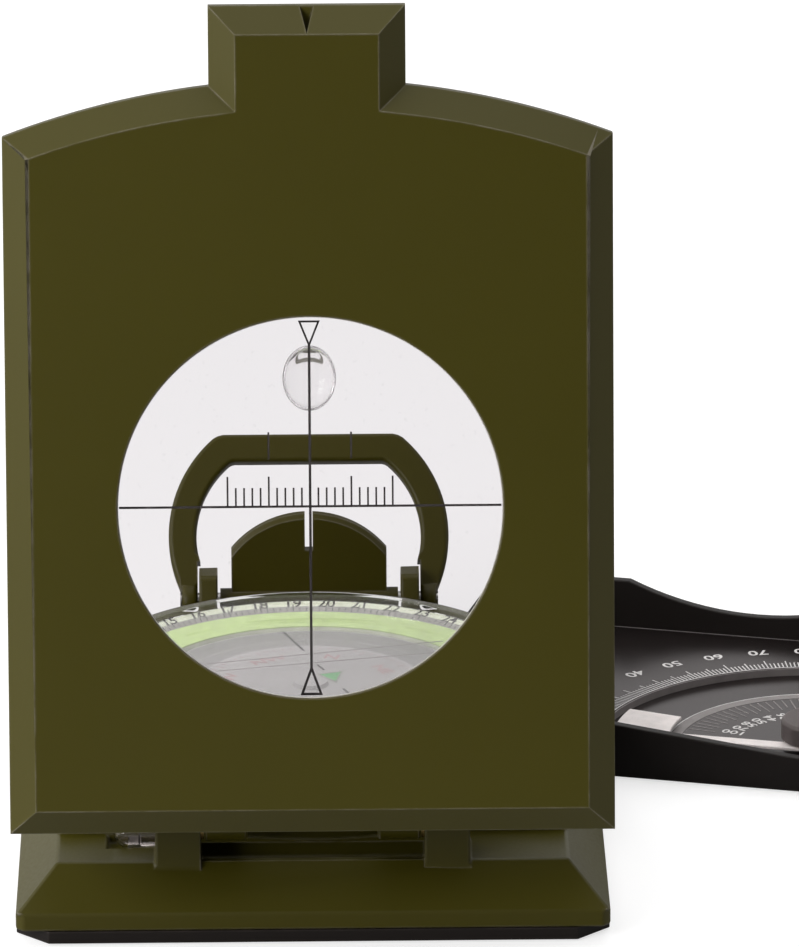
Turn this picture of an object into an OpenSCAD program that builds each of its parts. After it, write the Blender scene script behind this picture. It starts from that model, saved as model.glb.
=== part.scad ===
// Sighting compass: a lid with a round window, a dial, a folding rear sight, a thumb ring
// and a clinometer in a tray that swings out from under the base.
// X runs to the right, Y away from the lid's hinge and Z up. The origin is the centre
// of the bottom plate's face. Every piece lies where it is at rest, with the lid open.

/* [Case] */
// Width of the base and of the lid
case_w = 63.8; // [62:0.2:70]
// Height of the closed case
case_h = 33; // [32:0.5:38]
// Length of the base from its front face to its rear end
base_l = 78; // [77.5:0.5:84]
// Length of the front block that stands on the bottom plate
block_l = 32; // [28:0.5:32]
// Thickness of the bottom plate
plate_t = 1.4; // [1:0.1:2]
// Cut across the front corners of the block
corner_cut = 3.5; // [2:0.5:5]
// Height of the block's upright edge above the bottom plate
skirt_edge = 1.9; // [1.5:0.1:2.4]
// Chamfer round the upper edge of the block
skirt_chamfer = 4.4; // [3.6:0.1:4.6]
// Underside of the deck, above the clinometer tray
deck_z0 = 8.5; // [8.5:0.1:8.8]
// Thickness of the deck
deck_t = 1.3; // [1.2:0.1:1.4]

/* [Lid] */
// Angle by which the lid stands open
lid_open = 80; // [0:1:100]
// Length of the lid without its tab
lid_body_l = 79.7; // [78:0.1:84]
// Radius of the lid's curved free end
lid_end_r = 90; // [88:1:140]
// Thickness of the lid's plate
lid_plate_t = 4.5; // [4:0.1:5]
// Thickness of the lid's side walls
lid_wall = 2.2; // [1.8:0.1:3]
// Chamfer round the lid's outer face
lid_chamfer = 3; // [1.5:0.1:3.2]
// Width of the tab
tab_w = 20.6; // [18:0.2:24]
// Length of the tab
tab_l = 7.8; // [6:0.2:9]
// Width of the sighting notch in the tab
notch_w = 1.5; // [1:0.1:2.4]
// Length of the sighting notch along the tab
notch_l = 2.7; // [1.5:0.1:3]
// Depth of the sighting notch below the lid's face
notch_depth = 2.7; // [2:0.1:3.2]
// Diameter of the window
window_d = 40.8; // [38:0.2:44]
// Distance of the window's centre from the lid's hinged end
window_pos = 34.5; // [34:0.1:38]
// Thickness of the window glass
glass_t = 1.6; // [1.2:0.1:2]

/* [Lid hinge] */
// Height of the lid hinge's axis
hinge_z = 11.9; // [11.8:0.1:12.5]
// Distance of the lid hinge's axis behind the base's front face
hinge_inset = 6.2; // [6:0.1:7]
// Radius of the hinge lugs and knuckles
hinge_r = 2.4; // [2.3:0.1:2.6]
// Radius of the hinge pins
hinge_pin_r = 1.1; // [0.8:0.05:1.3]
// Width of one lug of the base
lug_w = 4.9; // [4:0.1:6]
// Width of one knuckle of the lid
knuckle_w = 4.6; // [3:0.1:5]
// Inner face of the lid's knuckles, from the middle
knuckle_x = 7; // [5:0.1:8]

/* [Dial] */
// Outer radius of the turret that holds the dial
turret_r = 27.4; // [27.4:0.1:28]
// Height of the turret's top
turret_top = 15; // [14.8:0.1:15.2]
// Outer radius of the capsule bowl
bowl_r = 25.6; // [25.4:0.1:25.7]
// Wall of the capsule bowl
bowl_wall = 0.7; // [0.6:0.1:1.2]
// Outer radius of the clear cover
cover_r = 25.1; // [24.6:0.1:25.2]
// Height of the clear cover's rim
cover_top = 18; // [17.6:0.1:18.6]
// Inner radius of the green ring and of the azimuth ring
ring_in_r = 18.3; // [17.8:0.1:19]
// Outer radius of the green ring
green_out_r = 23.1; // [22.6:0.1:23.4]
// Number of grips round the bezel
bezel_grips = 60; // [36:2:72]
// Radius of the compass card
card_r = 17.8; // [16:0.1:17.8]

/* [Sight and thumb ring] */
// Height of the axis that carries the rear sight and the thumb ring
rear_z = 11; // [11:0.1:11.5]
// Distance of that axis behind the base's rear end
rear_gap = 2.2; // [2.2:0.1:3]
// Radius of the pin through the rear lugs
rear_pin_r = 0.9; // [0.7:0.05:1]
// Width of the sight plate
sight_w = 17.8; // [16:0.2:18.4]
// Height of the sight plate's arched top above the axis
sight_h = 10.5; // [9:0.1:11]
// Height of the sight plate's shoulders above the axis
sight_shoulder = 6.2; // [5:0.1:7]
// Thickness of the sight plate
sight_t = 1.4; // [1.2:0.1:1.6]
// Width of the sighting slot
slot_w = 0.9; // [0.6:0.1:1.2]
// Depth of the sighting slot
slot_depth = 4.3; // [3:0.1:4.6]
// Angle by which the thumb ring leans back
ring_lean = 32; // [32:1:40]
// Height of the thumb ring's top above the axis
ring_h = 19.4; // [18:0.1:19.4]
// Width of the ring's bar across the top
ring_top_bar = 3.3; // [2.6:0.1:3.6]
// Width of the ring's bar at the sides
ring_side_bar = 3.2; // [2.6:0.1:3.4]
// Thickness of the ring's bar
ring_t = 2.4; // [2:0.1:2.6]
// Half of the ring's greatest outer width
ring_half_w = 16.1; // [15.8:0.1:17]
// Radius to which the ring's sides bulge outside
ring_outer_r = 15.5; // [15:0.5:17]
// Radius to which the ring's sides bulge inside
ring_inner_r = 11.3; // [10.5:0.1:12]

/* [Clinometer tray] */
// Width of the tray
tray_w = 44; // [42:0.2:44]
// Gap between the stowed tray's ends and the sides of the case
tray_inset = 1.9; // [1.4:0.1:2.5]
// Angle from straight right by which the open tray turns toward the front
tray_yaw = 15; // [5:1:20]
// Distance of the tray's pivot from its inner end
pivot_u = 8.1; // [7:0.1:9]
// Distance of the tray's pivot from its near wall
pivot_w = 12; // [10:0.1:12.4]
// Radius of the tray's rivet
rivet_r = 2; // [1.6:0.1:2.4]
// Thickness of the tray's floor
floor_t = 1.2; // [1:0.1:1.4]
// Thickness of the tray's walls
tray_wall = 1.2; // [1:0.1:1.4]
// Height of the tray at its inner end
tray_h_in = 8.2; // [7.6:0.1:8.2]
// Height of the near wall at its low end
near_wall_h = 3.8; // [3.6:0.1:5]
// Height left under the scoop of the far wall
scoop_h = 5; // [4.5:0.1:6]
// Radius of the scoop in the far wall
scoop_r = 38; // [32:1:42]
// Distance of the scale's centre from the tray's inner end
scale_u = 45.5; // [44:0.1:46]
// Distance of the scale's centre from the tray's near wall
scale_w = 9.3; // [9:0.1:10]
// Radius of the ring of numbers
scale_r = 31.6; // [31:0.1:32]
// Radius of the recess in the scale plate
recess_r = 25.3; // [25:0.1:26]
// Radius of the inner scale disc
disc_r = 17.5; // [16.8:0.1:18]
// Angle from the tray's length at which the pendulum lies
pendulum_rest = 0; // [0:1:90]

/* [Fits] */
// Gap between flat pieces that move past each other
slide_gap = 0.2; // [0.15:0.05:0.3]
// Gap between a pin and its bore
pin_gap = 0.05; // [0.03:0.01:0.08]
// Gap between curved pieces that are seated in each other
seat_gap = 0.05; // [0.03:0.01:0.1]
// Gap that the sweeping tray keeps from the front block
sweep_gap = 1; // [0.6:0.1:2]

/* [Hidden] */
$fn = 96;
over = 0.1;

olive = [0.25, 0.24, 0.11];
black = [0.07, 0.07, 0.08];
steel = [0.62, 0.63, 0.65];
brass = [0.7, 0.56, 0.27];

front_y = -block_l / 2;
rear_y = front_y + base_l;
block_rear_y = front_y + block_l;
skirt_z = plate_t + skirt_edge;
ledge_z = skirt_z + skirt_chamfer;
deck_z = deck_z0 + deck_t;

hinge_y = front_y + hinge_inset;
lug_x = knuckle_x + knuckle_w + slide_gap * 2;
washer_t = 0.3;
ledge_l = 13.2;
deck_front_y = front_y + ledge_l;

lid_setback = 1.9;
wall_setback = 6.2;
wall_slant = 7;
lid_y = hinge_y + lid_setback;
lid_under = case_h - lid_plate_t;
lid_rim_z = deck_z + 0.7;
window_y = lid_y + window_pos;
window_r = window_d / 2;
glass_seat = 1;
retainer_in = 0.6;
retainer_w = 1.7;
retainer_t = 0.8;

turret_gap = 4.4;
dial_y = hinge_y + turret_gap + turret_r;
neck_r = turret_r - 0.9;
neck_z = turret_top - 1;
groove_r = neck_r - 0.35;
groove_z = neck_z + 0.4;
groove_h = 0.4;
bowl_z = deck_z0 + 0.9;
bowl_floor = 0.9;
ring_z = 15.9;
cover_z = ring_z + slide_gap;
azimuth_t = 0.7;
number_rise = 0.9;
number_out_r = cover_r - 0.5;
green_t = 0.15;
card_z = 14.9;
card_t = 0.6;

rear_hinge_y = rear_y + rear_gap;
rear_lug_r = 1.9;
rear_lug_h = 3.7;
foot_w = 1.3;
rear_lug_in = sight_w / 2 + foot_w + 0.3;
rear_lug_w = 2.1;
ring_leg_in = rear_lug_in + rear_lug_w + slide_gap;
ring_leg_w = 1.8;

tray_l = case_w - 2 * tray_inset;
tray_corner = norm([pivot_u, tray_w - pivot_w]);
tray_pivot = [case_w / 2 - tray_inset - pivot_u, block_rear_y + sweep_gap + tray_corner];
tray_round = 4;
plate_z = floor_t + 1.4;
recess_z = floor_t + 0.5;
disc_z = recess_z + 0.5;
pendulum_z = plate_z + 0.2;
pendulum_t = 0.4;
pendulum_hub_r = 4.1;
pendulum_pin_r = 1.2;
hub_r = 4.4;
hub_t = 2.3;

// Places a profile drawn in the Y-Z plane and gives it a width along X, from x on.
module along_x(x, width) {
    translate([x, 0, 0]) rotate([90, 0, 90]) linear_extrude(width) children();
}

// A cylinder along X, from x on.
module rod_x(x, width, r) {
    translate([x, 0, 0]) rotate([0, 90, 0]) cylinder(h = width, r = r);
}

// Turns pieces drawn at the closed lid into the open one.
module opened_lid() {
    translate([0, hinge_y, hinge_z]) rotate([lid_open, 0, 0])
        translate([0, -hinge_y, -hinge_z]) children();
}

// Places pieces drawn in the tray's own frame: u from its inner end, w from its near wall.
module opened_tray() {
    translate([tray_pivot.x, tray_pivot.y, 0]) rotate(-tray_yaw)
        translate([-pivot_u, -pivot_w, 0]) children();
}

// Turns pieces drawn round the clinometer's pivot, with the pendulum along its length.
module at_scale_centre() {
    opened_tray() translate([scale_u, scale_w, 0]) children();
}

// Leans pieces drawn upright on the rear axis.
module on_rear_axis(lean = 0) {
    translate([0, rear_hinge_y, rear_z]) rotate([-lean, 0, 0]) children();
}

// Repeats a piece on the left side as its mirror image.
module both_sides() {
    for (side = [0, 1]) mirror([side, 0, 0]) children();
}

// The block's outline with its two front corners cut off.
module block_outline(cut) {
    half = case_w / 2;
    polygon([
        [-half + cut, front_y], [half - cut, front_y], [half, front_y + cut],
        [half, block_rear_y], [-half, block_rear_y], [-half, front_y + cut]
    ]);
}

// Wedges that cut the block's upper edge at 45 degrees, at the front and both sides.
module skirt_wedges() {
    reach = skirt_chamfer + 1;
    along_x(-case_w / 2 - 1, case_w + 2)
        polygon([
            [front_y - 1, skirt_z - 1], [front_y + reach - 1, skirt_z + reach - 1],
            [front_y - 1, skirt_z + reach - 1]
        ]);
    both_sides() translate([0, block_rear_y + 1, 0]) rotate([90, 0, 0])
        linear_extrude(block_l + 2)
            polygon([
                [case_w / 2 + 1, skirt_z - 1], [case_w / 2 - reach + 1, skirt_z + reach - 1],
                [case_w / 2 + 1, skirt_z + reach - 1]
            ]);
}

// The solid front block, from the bottom plate up to the ledge.
module front_block() {
    difference() {
        union() {
            translate([0, 0, plate_t]) linear_extrude(skirt_edge) block_outline(0.8);
            translate([-case_w / 2, front_y, skirt_z])
                cube([case_w, block_l, skirt_chamfer]);
        }
        skirt_wedges();
    }
}

// The deck: narrow over the front block, as wide as the case behind it.
module deck() {
    inner_w = case_w - 2 * skirt_chamfer;
    rear_cut = 6;
    translate([-inner_w / 2, deck_front_y, ledge_z - over])
        cube([inner_w, block_rear_y - deck_front_y, deck_z - ledge_z + over]);
    intersection() {
        translate([0, dial_y, ledge_z - over]) cylinder(h = deck_t, r = turret_r);
        translate([-case_w / 2, front_y, 0]) cube([case_w, block_l, deck_z]);
    }
    translate([0, 0, deck_z0]) linear_extrude(deck_t)
        polygon([
            [-case_w / 2, block_rear_y - 1], [case_w / 2, block_rear_y - 1],
            [case_w / 2, rear_y - rear_cut], [case_w / 2 - rear_cut, rear_y],
            [-case_w / 2 + rear_cut, rear_y], [-case_w / 2, rear_y - rear_cut]
        ]);
    translate([-inner_w / 2, block_rear_y - 1 - over, ledge_z - over])
        cube([inner_w, 1 + over, deck_z0 - ledge_z + 2 * over]);
}

// The two front lugs, each rising from the chamfer to the lid hinge.
module front_lugs() {
    both_sides() {
        translate([0, hinge_y, hinge_z]) rod_x(lug_x, lug_w, hinge_r);
        along_x(lug_x, lug_w)
            polygon([
                [hinge_y - hinge_r, hinge_z], [hinge_y + hinge_r, hinge_z],
                [hinge_y + hinge_r + 1.2, deck_z - over], [hinge_y + hinge_r + 1.2, ledge_z - 1.5],
                [hinge_y - hinge_r, ledge_z - 1.5]
            ]);
    }
}

// The two rear lugs: blocks with a sloping front, joined to the end of the deck.
module rear_lugs() {
    top = rear_z + rear_lug_h;
    both_sides() {
        on_rear_axis() rod_x(rear_lug_in, rear_lug_w, rear_lug_r);
        along_x(rear_lug_in, rear_lug_w)
            polygon([
                [rear_y - 2.4, deck_z - over], [rear_y - 0.4, top - 0.5], [rear_y + 0.1, top],
                [rear_hinge_y + 1, top], [rear_hinge_y + rear_lug_r, top - 1],
                [rear_hinge_y + rear_lug_r, rear_z], [rear_hinge_y, rear_z - rear_lug_r],
                [rear_y - 0.3, deck_z0]
            ]);
    }
}

// The turret, with a thinner neck on which the bezel turns and a groove for its ring.
module turret() {
    translate([0, dial_y, 0]) rotate_extrude()
        polygon([
            [0, deck_z0], [turret_r, deck_z0], [turret_r, neck_z], [neck_r, neck_z],
            [neck_r, groove_z], [groove_r, groove_z], [groove_r, groove_z + groove_h],
            [neck_r, groove_z + groove_h], [neck_r, turret_top], [0, turret_top]
        ]);
}

// The hollow in the ledge under the lid's knuckles, behind a narrow lip.
module knuckle_hollow() {
    lip = 0.7;
    depth = 1.7;
    translate([-lug_x, front_y + skirt_chamfer + lip, ledge_z - depth])
        cube([2 * lug_x, hinge_inset - skirt_chamfer - lip + hinge_r + 1.4, depth + over]);
}

// The body of the base, one casting with all its bores.
module base_body() color(olive) {
    difference() {
        union() {
            front_block();
            deck();
            front_lugs();
            rear_lugs();
            turret();
        }
        translate([0, dial_y, bowl_z]) cylinder(h = 10, r = bowl_r + seat_gap);
        translate([0, hinge_y, hinge_z])
            rod_x(-lug_x - lug_w - 1, 2 * (lug_x + lug_w + 1), hinge_pin_r + pin_gap);
        on_rear_axis()
            rod_x(-rear_lug_in - rear_lug_w - 1, 2 * (rear_lug_in + rear_lug_w + 1),
                rear_pin_r + pin_gap);
        translate([tray_pivot.x, tray_pivot.y, 0]) cylinder(h = 20, r = rivet_r + pin_gap);
        vial_notch();
        knuckle_hollow();
        screw_places() cylinder(h = screw_l, r = screw_r + pin_gap);
    }
}

// The level vial lies in a notch behind the left front lug.
vial_r = 1.6;
vial_x = -case_w / 2 + skirt_chamfer + 6;
vial_l = -lug_x - 0.9 - vial_x;
vial_y = hinge_y + hinge_r + 0.2 + vial_r;
notch_z = ledge_z - 0.9;
cradle_t = 0.35;
vial_z = notch_z + cradle_t + vial_r;

module vial_notch() {
    translate([vial_x - 0.6, vial_y - vial_r - 0.15, notch_z])
        cube([vial_l + 0.9, 2 * vial_r + 0.6, 10]);
}

module level_vial() color([0.85, 0.9, 0.85, 0.5]) {
    translate([vial_x, vial_y, vial_z]) rotate([0, 90, 0]) rotate_extrude()
        difference() {
            union() {
                translate([0, vial_r]) square([vial_r, vial_l - vial_r]);
                translate([0, vial_r]) circle(r = vial_r);
            }
            translate([-3 * vial_r, -1]) square([3 * vial_r, vial_l + 2]);
        }
}

// A flat strip under the vial with a saddle near each end.
module vial_cradle() color(steel) {
    saddle_w = 1.4;
    reach = 1.6;
    translate([vial_x, vial_y, notch_z])
        difference() {
            union() {
                translate([reach, -vial_r / 2, 0]) cube([vial_l - 2 * reach, vial_r, cradle_t]);
                for (x = [reach, vial_l - reach - saddle_w])
                    translate([x, -vial_r, 0]) cube([saddle_w, 2 * vial_r, cradle_t + vial_r / 2]);
            }
            translate([-1, 0, cradle_t + vial_r]) rod_x(0, vial_l + 2, vial_r + seat_gap);
        }
}

// Screws of the bottom plate
screw_r = 0.9;
screw_head_r = 1.7;
screw_l = 4.5;
screw_inset = 5.5;

module screw_places() {
    for (x = [-1, 1], y = [front_y + screw_inset, block_rear_y - screw_inset])
        translate([x * (case_w / 2 - screw_inset - 1), y, 0]) children();
}

module bottom_plate() color(black) {
    difference() {
        linear_extrude(plate_t) block_outline(corner_cut);
        screw_places() {
            translate([0, 0, -over]) cylinder(h = plate_t + 1, r = screw_r + pin_gap);
            translate([0, 0, -over]) cylinder(h = screw_head_t() + over, r = screw_head_r + seat_gap);
        }
    }
}

function screw_head_t() = plate_t / 2;

module bottom_plate_screws() color(steel) {
    screw_places() {
        translate([0, 0, 0.1]) cylinder(h = screw_head_t() - 0.1, r = screw_head_r);
        translate([0, 0, 0.1]) cylinder(h = screw_l - 0.3, r = screw_r);
    }
}

module capsule_bowl() color([0.35, 0.36, 0.38]) {
    translate([0, dial_y, 0]) rotate_extrude()
        polygon([
            [0, bowl_z], [bowl_r, bowl_z], [bowl_r, turret_top], [bowl_r - bowl_wall, turret_top],
            [bowl_r - bowl_wall, bowl_z + bowl_floor], [0, bowl_z + bowl_floor]
        ]);
}

// The needle under the card, on a foot that is seated in the bowl.
post_r = 0.5;
post_top = card_z + 0.35;

module pivot_post() color(brass) {
    translate([0, dial_y, 0]) rotate_extrude()
        polygon([
            [0, bowl_z + bowl_floor], [2.2, bowl_z + bowl_floor],
            [2.2, bowl_z + bowl_floor + 0.5], [post_r, bowl_z + bowl_floor + 0.8],
            [post_r, post_top - 0.7], [0, post_top]
        ]);
}

// Compass card: a thin disc with a stepped hub
card_hole_r = 1.5;

module compass_card() color([0.62, 0.6, 0.66]) {
    translate([0, dial_y, card_z])
        difference() {
            cylinder(h = card_t, r = card_r);
            translate([0, 0, -over]) cylinder(h = card_t + 2 * over, r = card_hole_r);
        }
}

magnet_l = 22;
magnet_w = 4.2;
magnet_t = 1.1;

module card_magnet() color([0.3, 0.3, 0.32]) {
    translate([0, dial_y, card_z - magnet_t])
        linear_extrude(magnet_t)
            difference() {
                intersection() {
                    square([magnet_w, magnet_l], center = true);
                    circle(r = magnet_l / 2 - 0.3);
                }
                circle(r = card_hole_r);
            }
}

// The cup that rests on the needle, seated in the card's hole.
module jewel_cup() color(brass) {
    translate([0, dial_y, 0]) rotate_extrude()
        polygon([
            [post_r + 0.15, card_z - magnet_t], [card_hole_r, card_z - magnet_t],
            [card_hole_r, card_z + card_t], [card_hole_r + 0.5, card_z + card_t],
            [card_hole_r + 0.3, card_z + card_t + 0.4], [0, card_z + card_t + 0.4],
            [0, post_top + 0.1], [post_r + 0.15, post_top - 0.5]
        ]);
}

// The bezel's ring: a flange round the turret's neck and a gripped band above it.
bezel_r = turret_r - 1;
flange_r = turret_r - 0.1;
bezel_top = ring_z + 0.4;

module bezel_ring() color([0.12, 0.13, 0.1]) {
    z0 = neck_z + slide_gap;
    z1 = turret_top + slide_gap;
    flange_in = neck_r + slide_gap;
    slot_z = groove_z - 0.1;
    slot_in = flange_in + 0.3;
    translate([0, dial_y, 0])
        difference() {
            rotate_extrude()
                polygon([
                    [flange_in, z0], [flange_r, z0], [flange_r, z1], [bezel_r, z1],
                    [bezel_r, bezel_top - 0.4], [bezel_r - 0.4, bezel_top],
                    [cover_r + seat_gap, bezel_top], [cover_r + seat_gap, z1],
                    [flange_in, z1], [flange_in, slot_z + groove_h + 0.2],
                    [slot_in, slot_z + groove_h + 0.2], [slot_in, slot_z], [flange_in, slot_z]
                ]);
            for (i = [0:bezel_grips - 1])
                rotate(360 / bezel_grips * i) translate([bezel_r + 0.25, 0, z1 + 0.2])
                    cylinder(h = 5, r = 0.5, $fn = 24);
        }
}

// A wire ring in the neck's groove keeps the bezel on the turret.
module bezel_retaining_ring() color(steel) {
    translate([0, dial_y, groove_z + seat_gap])
        difference() {
            cylinder(h = groove_h - 2 * seat_gap, r = neck_r + slide_gap + 0.1);
            translate([0, 0, -over]) cylinder(h = 2, r = groove_r + seat_gap);
        }
}

// Clear cover with a raised rim, a step down to its flat middle and a skirt that is held
// in the bezel.
module dial_cover() color([0.8, 0.95, 0.85, 0.35]) {
    step = 0.5;
    skirt_in = number_out_r + seat_gap;
    translate([0, dial_y, 0]) rotate_extrude()
        polygon([
            [0, cover_z], [green_out_r, cover_z], [skirt_in, cover_z + number_rise],
            [skirt_in, ring_z - azimuth_t + seat_gap], [cover_r, ring_z - azimuth_t + seat_gap],
            [cover_r, cover_top - 0.25], [cover_r - 0.25, cover_top],
            [cover_r - 1.5, cover_top], [cover_r - 1.5 - step, cover_top - step],
            [0, cover_top - step]
        ]);
}

// The ring's outer band, which carries the numbers, slopes up toward the bezel.
module azimuth_ring() color([0.9, 0.92, 0.88]) {
    translate([0, dial_y, 0]) rotate_extrude()
        polygon([
            [ring_in_r, ring_z - azimuth_t], [number_out_r, ring_z - azimuth_t],
            [number_out_r, ring_z + number_rise], [green_out_r, ring_z],
            [green_out_r, ring_z - green_t], [ring_in_r, ring_z - green_t]
        ]);
}

module luminous_ring() color([0.55, 0.85, 0.35]) {
    translate([0, dial_y, ring_z - green_t])
        difference() {
            cylinder(h = green_t, r = green_out_r);
            translate([0, 0, -over]) cylinder(h = green_t + 2 * over, r = ring_in_r);
        }
}

// The lid's outline without its tab: straight sides and a curved free end.
module lid_outline() {
    intersection() {
        translate([-case_w / 2, lid_y]) square([case_w, lid_body_l + 1]);
        translate([0, lid_y + lid_body_l - lid_end_r]) circle(r = lid_end_r, $fn = 240);
    }
}

// A long bar whose end face is a right triangle: it cuts a 45 degree chamfer of size c.
module chamfer_bar(length, c) {
    rotate([90, 0, 90]) linear_extrude(length)
        polygon([[-over, -c - over], [-over, over], [c + over, over]]);
}

// The lid's plate with all its outer edges chamfered, closed position.
module lid_plate() {
    difference() {
        translate([0, 0, lid_under]) linear_extrude(lid_plate_t) lid_outline();
        translate([-case_w / 2, lid_y, case_h]) chamfer_bar(case_w, lid_chamfer);
        both_sides()
            translate([case_w / 2, lid_y - 1, case_h]) rotate(90)
                chamfer_bar(lid_body_l + 2, lid_chamfer);
        translate([0, lid_y + lid_body_l - lid_end_r, case_h])
            rotate_extrude($fn = 240)
                polygon([
                    [lid_end_r + over, -lid_chamfer - over], [lid_end_r + over, over],
                    [lid_end_r - lid_chamfer - over, over]
                ]);
    }
}

// The tab runs well into the plate, so their chamfers meet in a mitre.
module lid_tab() {
    root = lid_y + lid_body_l - 12;
    length = 12 + tab_l;
    difference() {
        translate([-tab_w / 2, root, lid_under]) cube([tab_w, length, lid_plate_t]);
        both_sides()
            translate([tab_w / 2, root - 1, case_h]) rotate(90)
                chamfer_bar(length + 2, lid_chamfer);
        translate([tab_w / 2, root + length, case_h]) rotate(180)
            chamfer_bar(tab_w, lid_chamfer);
    }
}

// Side walls, cut at a slant toward the free end.
module lid_sides() {
    wall_rear = lid_y + lid_body_l - wall_setback;
    both_sides() along_x(case_w / 2 - lid_wall, lid_wall)
        polygon([
            [lid_y, lid_rim_z], [wall_rear - wall_slant, lid_rim_z],
            [wall_rear, lid_under], [wall_rear, lid_under + 1],
            [lid_y, lid_under + 1]
        ]);
}

module lid_shell() color(olive) opened_lid() {
    difference() {
        union() {
            lid_plate();
            lid_tab();
            lid_sides();
            translate([-case_w / 2 + 1, lid_y, hinge_z + hinge_r + 0.8])
                cube([case_w - 2, lid_wall, lid_under - hinge_z - hinge_r]);
            both_sides() {
                translate([0, hinge_y, hinge_z]) rod_x(knuckle_x, knuckle_w, hinge_r);
                along_x(knuckle_x, knuckle_w)
                    polygon([
                        [hinge_y - hinge_r, hinge_z], [hinge_y + hinge_r, hinge_z],
                        [lid_y + lid_wall + 1, hinge_z + hinge_r + 4],
                        [lid_y, hinge_z + hinge_r + 4]
                    ]);
            }
            translate([0, window_y, lid_under - 1.2])
                cylinder(h = 1.3, r = window_r + retainer_in + retainer_w + 1);
        }
        translate([0, window_y, lid_under - 5]) cylinder(h = 20, r = window_r);
        translate([0, window_y, lid_under - 5])
            cylinder(h = 5 + glass_t + 0.4, r = window_r + glass_seat);
        translate([0, window_y, lid_under - 5])
            cylinder(h = 5.4, r = window_r + retainer_in + retainer_w + seat_gap);
        translate([0, hinge_y, hinge_z])
            rod_x(-knuckle_x - knuckle_w - 1, 2 * (knuckle_x + knuckle_w + 1),
                hinge_pin_r + pin_gap);
        translate([0, lid_y + lid_body_l + tab_l, case_h - notch_depth])
            linear_extrude(notch_depth + 1)
                polygon([[-notch_w / 2, over], [0, -notch_l], [notch_w / 2, over]]);
    }
}

module lid_window() color([0.9, 0.95, 0.95, 0.25]) opened_lid() {
    translate([0, window_y, lid_under + 0.4])
        cylinder(h = glass_t, r = window_r + glass_seat - seat_gap);
}

module window_retainer() color(black) opened_lid() {
    translate([0, window_y, lid_under + 0.4 - retainer_t])
        difference() {
            cylinder(h = retainer_t, r = window_r + retainer_in + retainer_w);
            translate([0, 0, -over]) cylinder(h = retainer_t + 1, r = window_r + retainer_in);
        }
}

// The reading lens is an oval button under the window, drawn as two overlapping arcs.
lens_w = 5.6;
lens_l = 6.9;
lens_t = 1.3;
lens_shift = 13.6;

module reading_lens() color([0.85, 0.9, 0.95, 0.5]) opened_lid() {
    arc_r = (lens_l * lens_l / 4 + lens_w * lens_w / 4) / lens_w;
    translate([0, window_y + lens_shift, lid_under + 0.4 - lens_t])
        linear_extrude(lens_t)
            intersection_for(side = [-1, 1])
                translate([side * (arc_r - lens_w / 2), 0]) circle(r = arc_r);
}

module lid_hinge_pins() color(steel) {
    translate([0, hinge_y, hinge_z]) both_sides()
        rod_x(knuckle_x - 0.4, lug_x + lug_w - knuckle_x + 0.6, hinge_pin_r);
}

module lid_hinge_washers() color(brass) {
    translate([0, hinge_y, hinge_z]) both_sides()
        difference() {
            rod_x(lug_x - washer_t, washer_t, hinge_r - 0.2);
            rod_x(lug_x - 1, 2, hinge_pin_r + pin_gap);
        }
}

module rear_hinge_pin() color(steel) {
    half = ring_leg_in + ring_leg_w + 0.2;
    on_rear_axis() rod_x(-half, 2 * half, rear_pin_r);
}

// The rear sight: an arched plate with a slot, on two feet that turn on the rear pin.
foot_r = 1.4;
sight_bevel = 0.5;

module sight_plate() color(olive) on_rear_axis() {
    half = sight_w / 2;
    rise = sight_h - sight_shoulder;
    arc_r = (half * half + rise * rise) / (2 * rise);
    difference() {
        union() {
            translate([0, sight_t / 2, 0]) rotate([90, 0, 0]) linear_extrude(sight_t)
                intersection() {
                    translate([-half, 0]) square([sight_w, sight_h + 3]);
                    translate([0, sight_h - arc_r]) circle(r = arc_r, $fn = 180);
                }
            rod_x(-half - foot_w, sight_w + 2 * foot_w, foot_r);
        }
        rod_x(-half - foot_w - 1, sight_w + 2 * foot_w + 2, rear_pin_r + pin_gap);
        translate([-slot_w / 2, -5, sight_h - slot_depth]) cube([slot_w, 10, 10]);
        translate([0, -sight_t / 2, sight_h - arc_r]) rotate([-90, 0, 0])
            rotate_extrude($fn = 180)
                polygon([
                    [arc_r - sight_bevel - over, -over], [arc_r + over, -over],
                    [arc_r + over, sight_bevel + over]
                ]);
    }
}

// Half of an outline whose side is an arc round a point at the ring's widest height, and
// whose top corner is rounded by three flats that touch the fillet.
ring_wide_h = 7.4;
ring_outer_fillet = 2.5;
ring_inner_fillet = 1.4;

module ring_half_outline(half_w, bulge_r, top, fillet) {
    middle = [half_w - bulge_r, ring_wide_h];
    rise = top - fillet - middle.y;
    run = sqrt((bulge_r - fillet) * (bulge_r - fillet) - rise * rise);
    corner = middle + [run, rise];
    lean = atan2(rise, run);
    turn = (90 - lean) / 3;
    first = lean + turn;
    reach = fillet / cos(turn / 2);
    intersection() {
        translate(middle) circle(r = bulge_r);
        polygon([
            [-over, -bulge_r], [2 * bulge_r, -bulge_r],
            corner + fillet * [cos(first), sin(first)] + 10 * [sin(first), -cos(first)],
            corner + reach * [cos(first + turn / 2), sin(first + turn / 2)],
            corner + reach * [cos(90 - turn / 2), sin(90 - turn / 2)],
            [-over, top]
        ]);
    }
}

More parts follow.
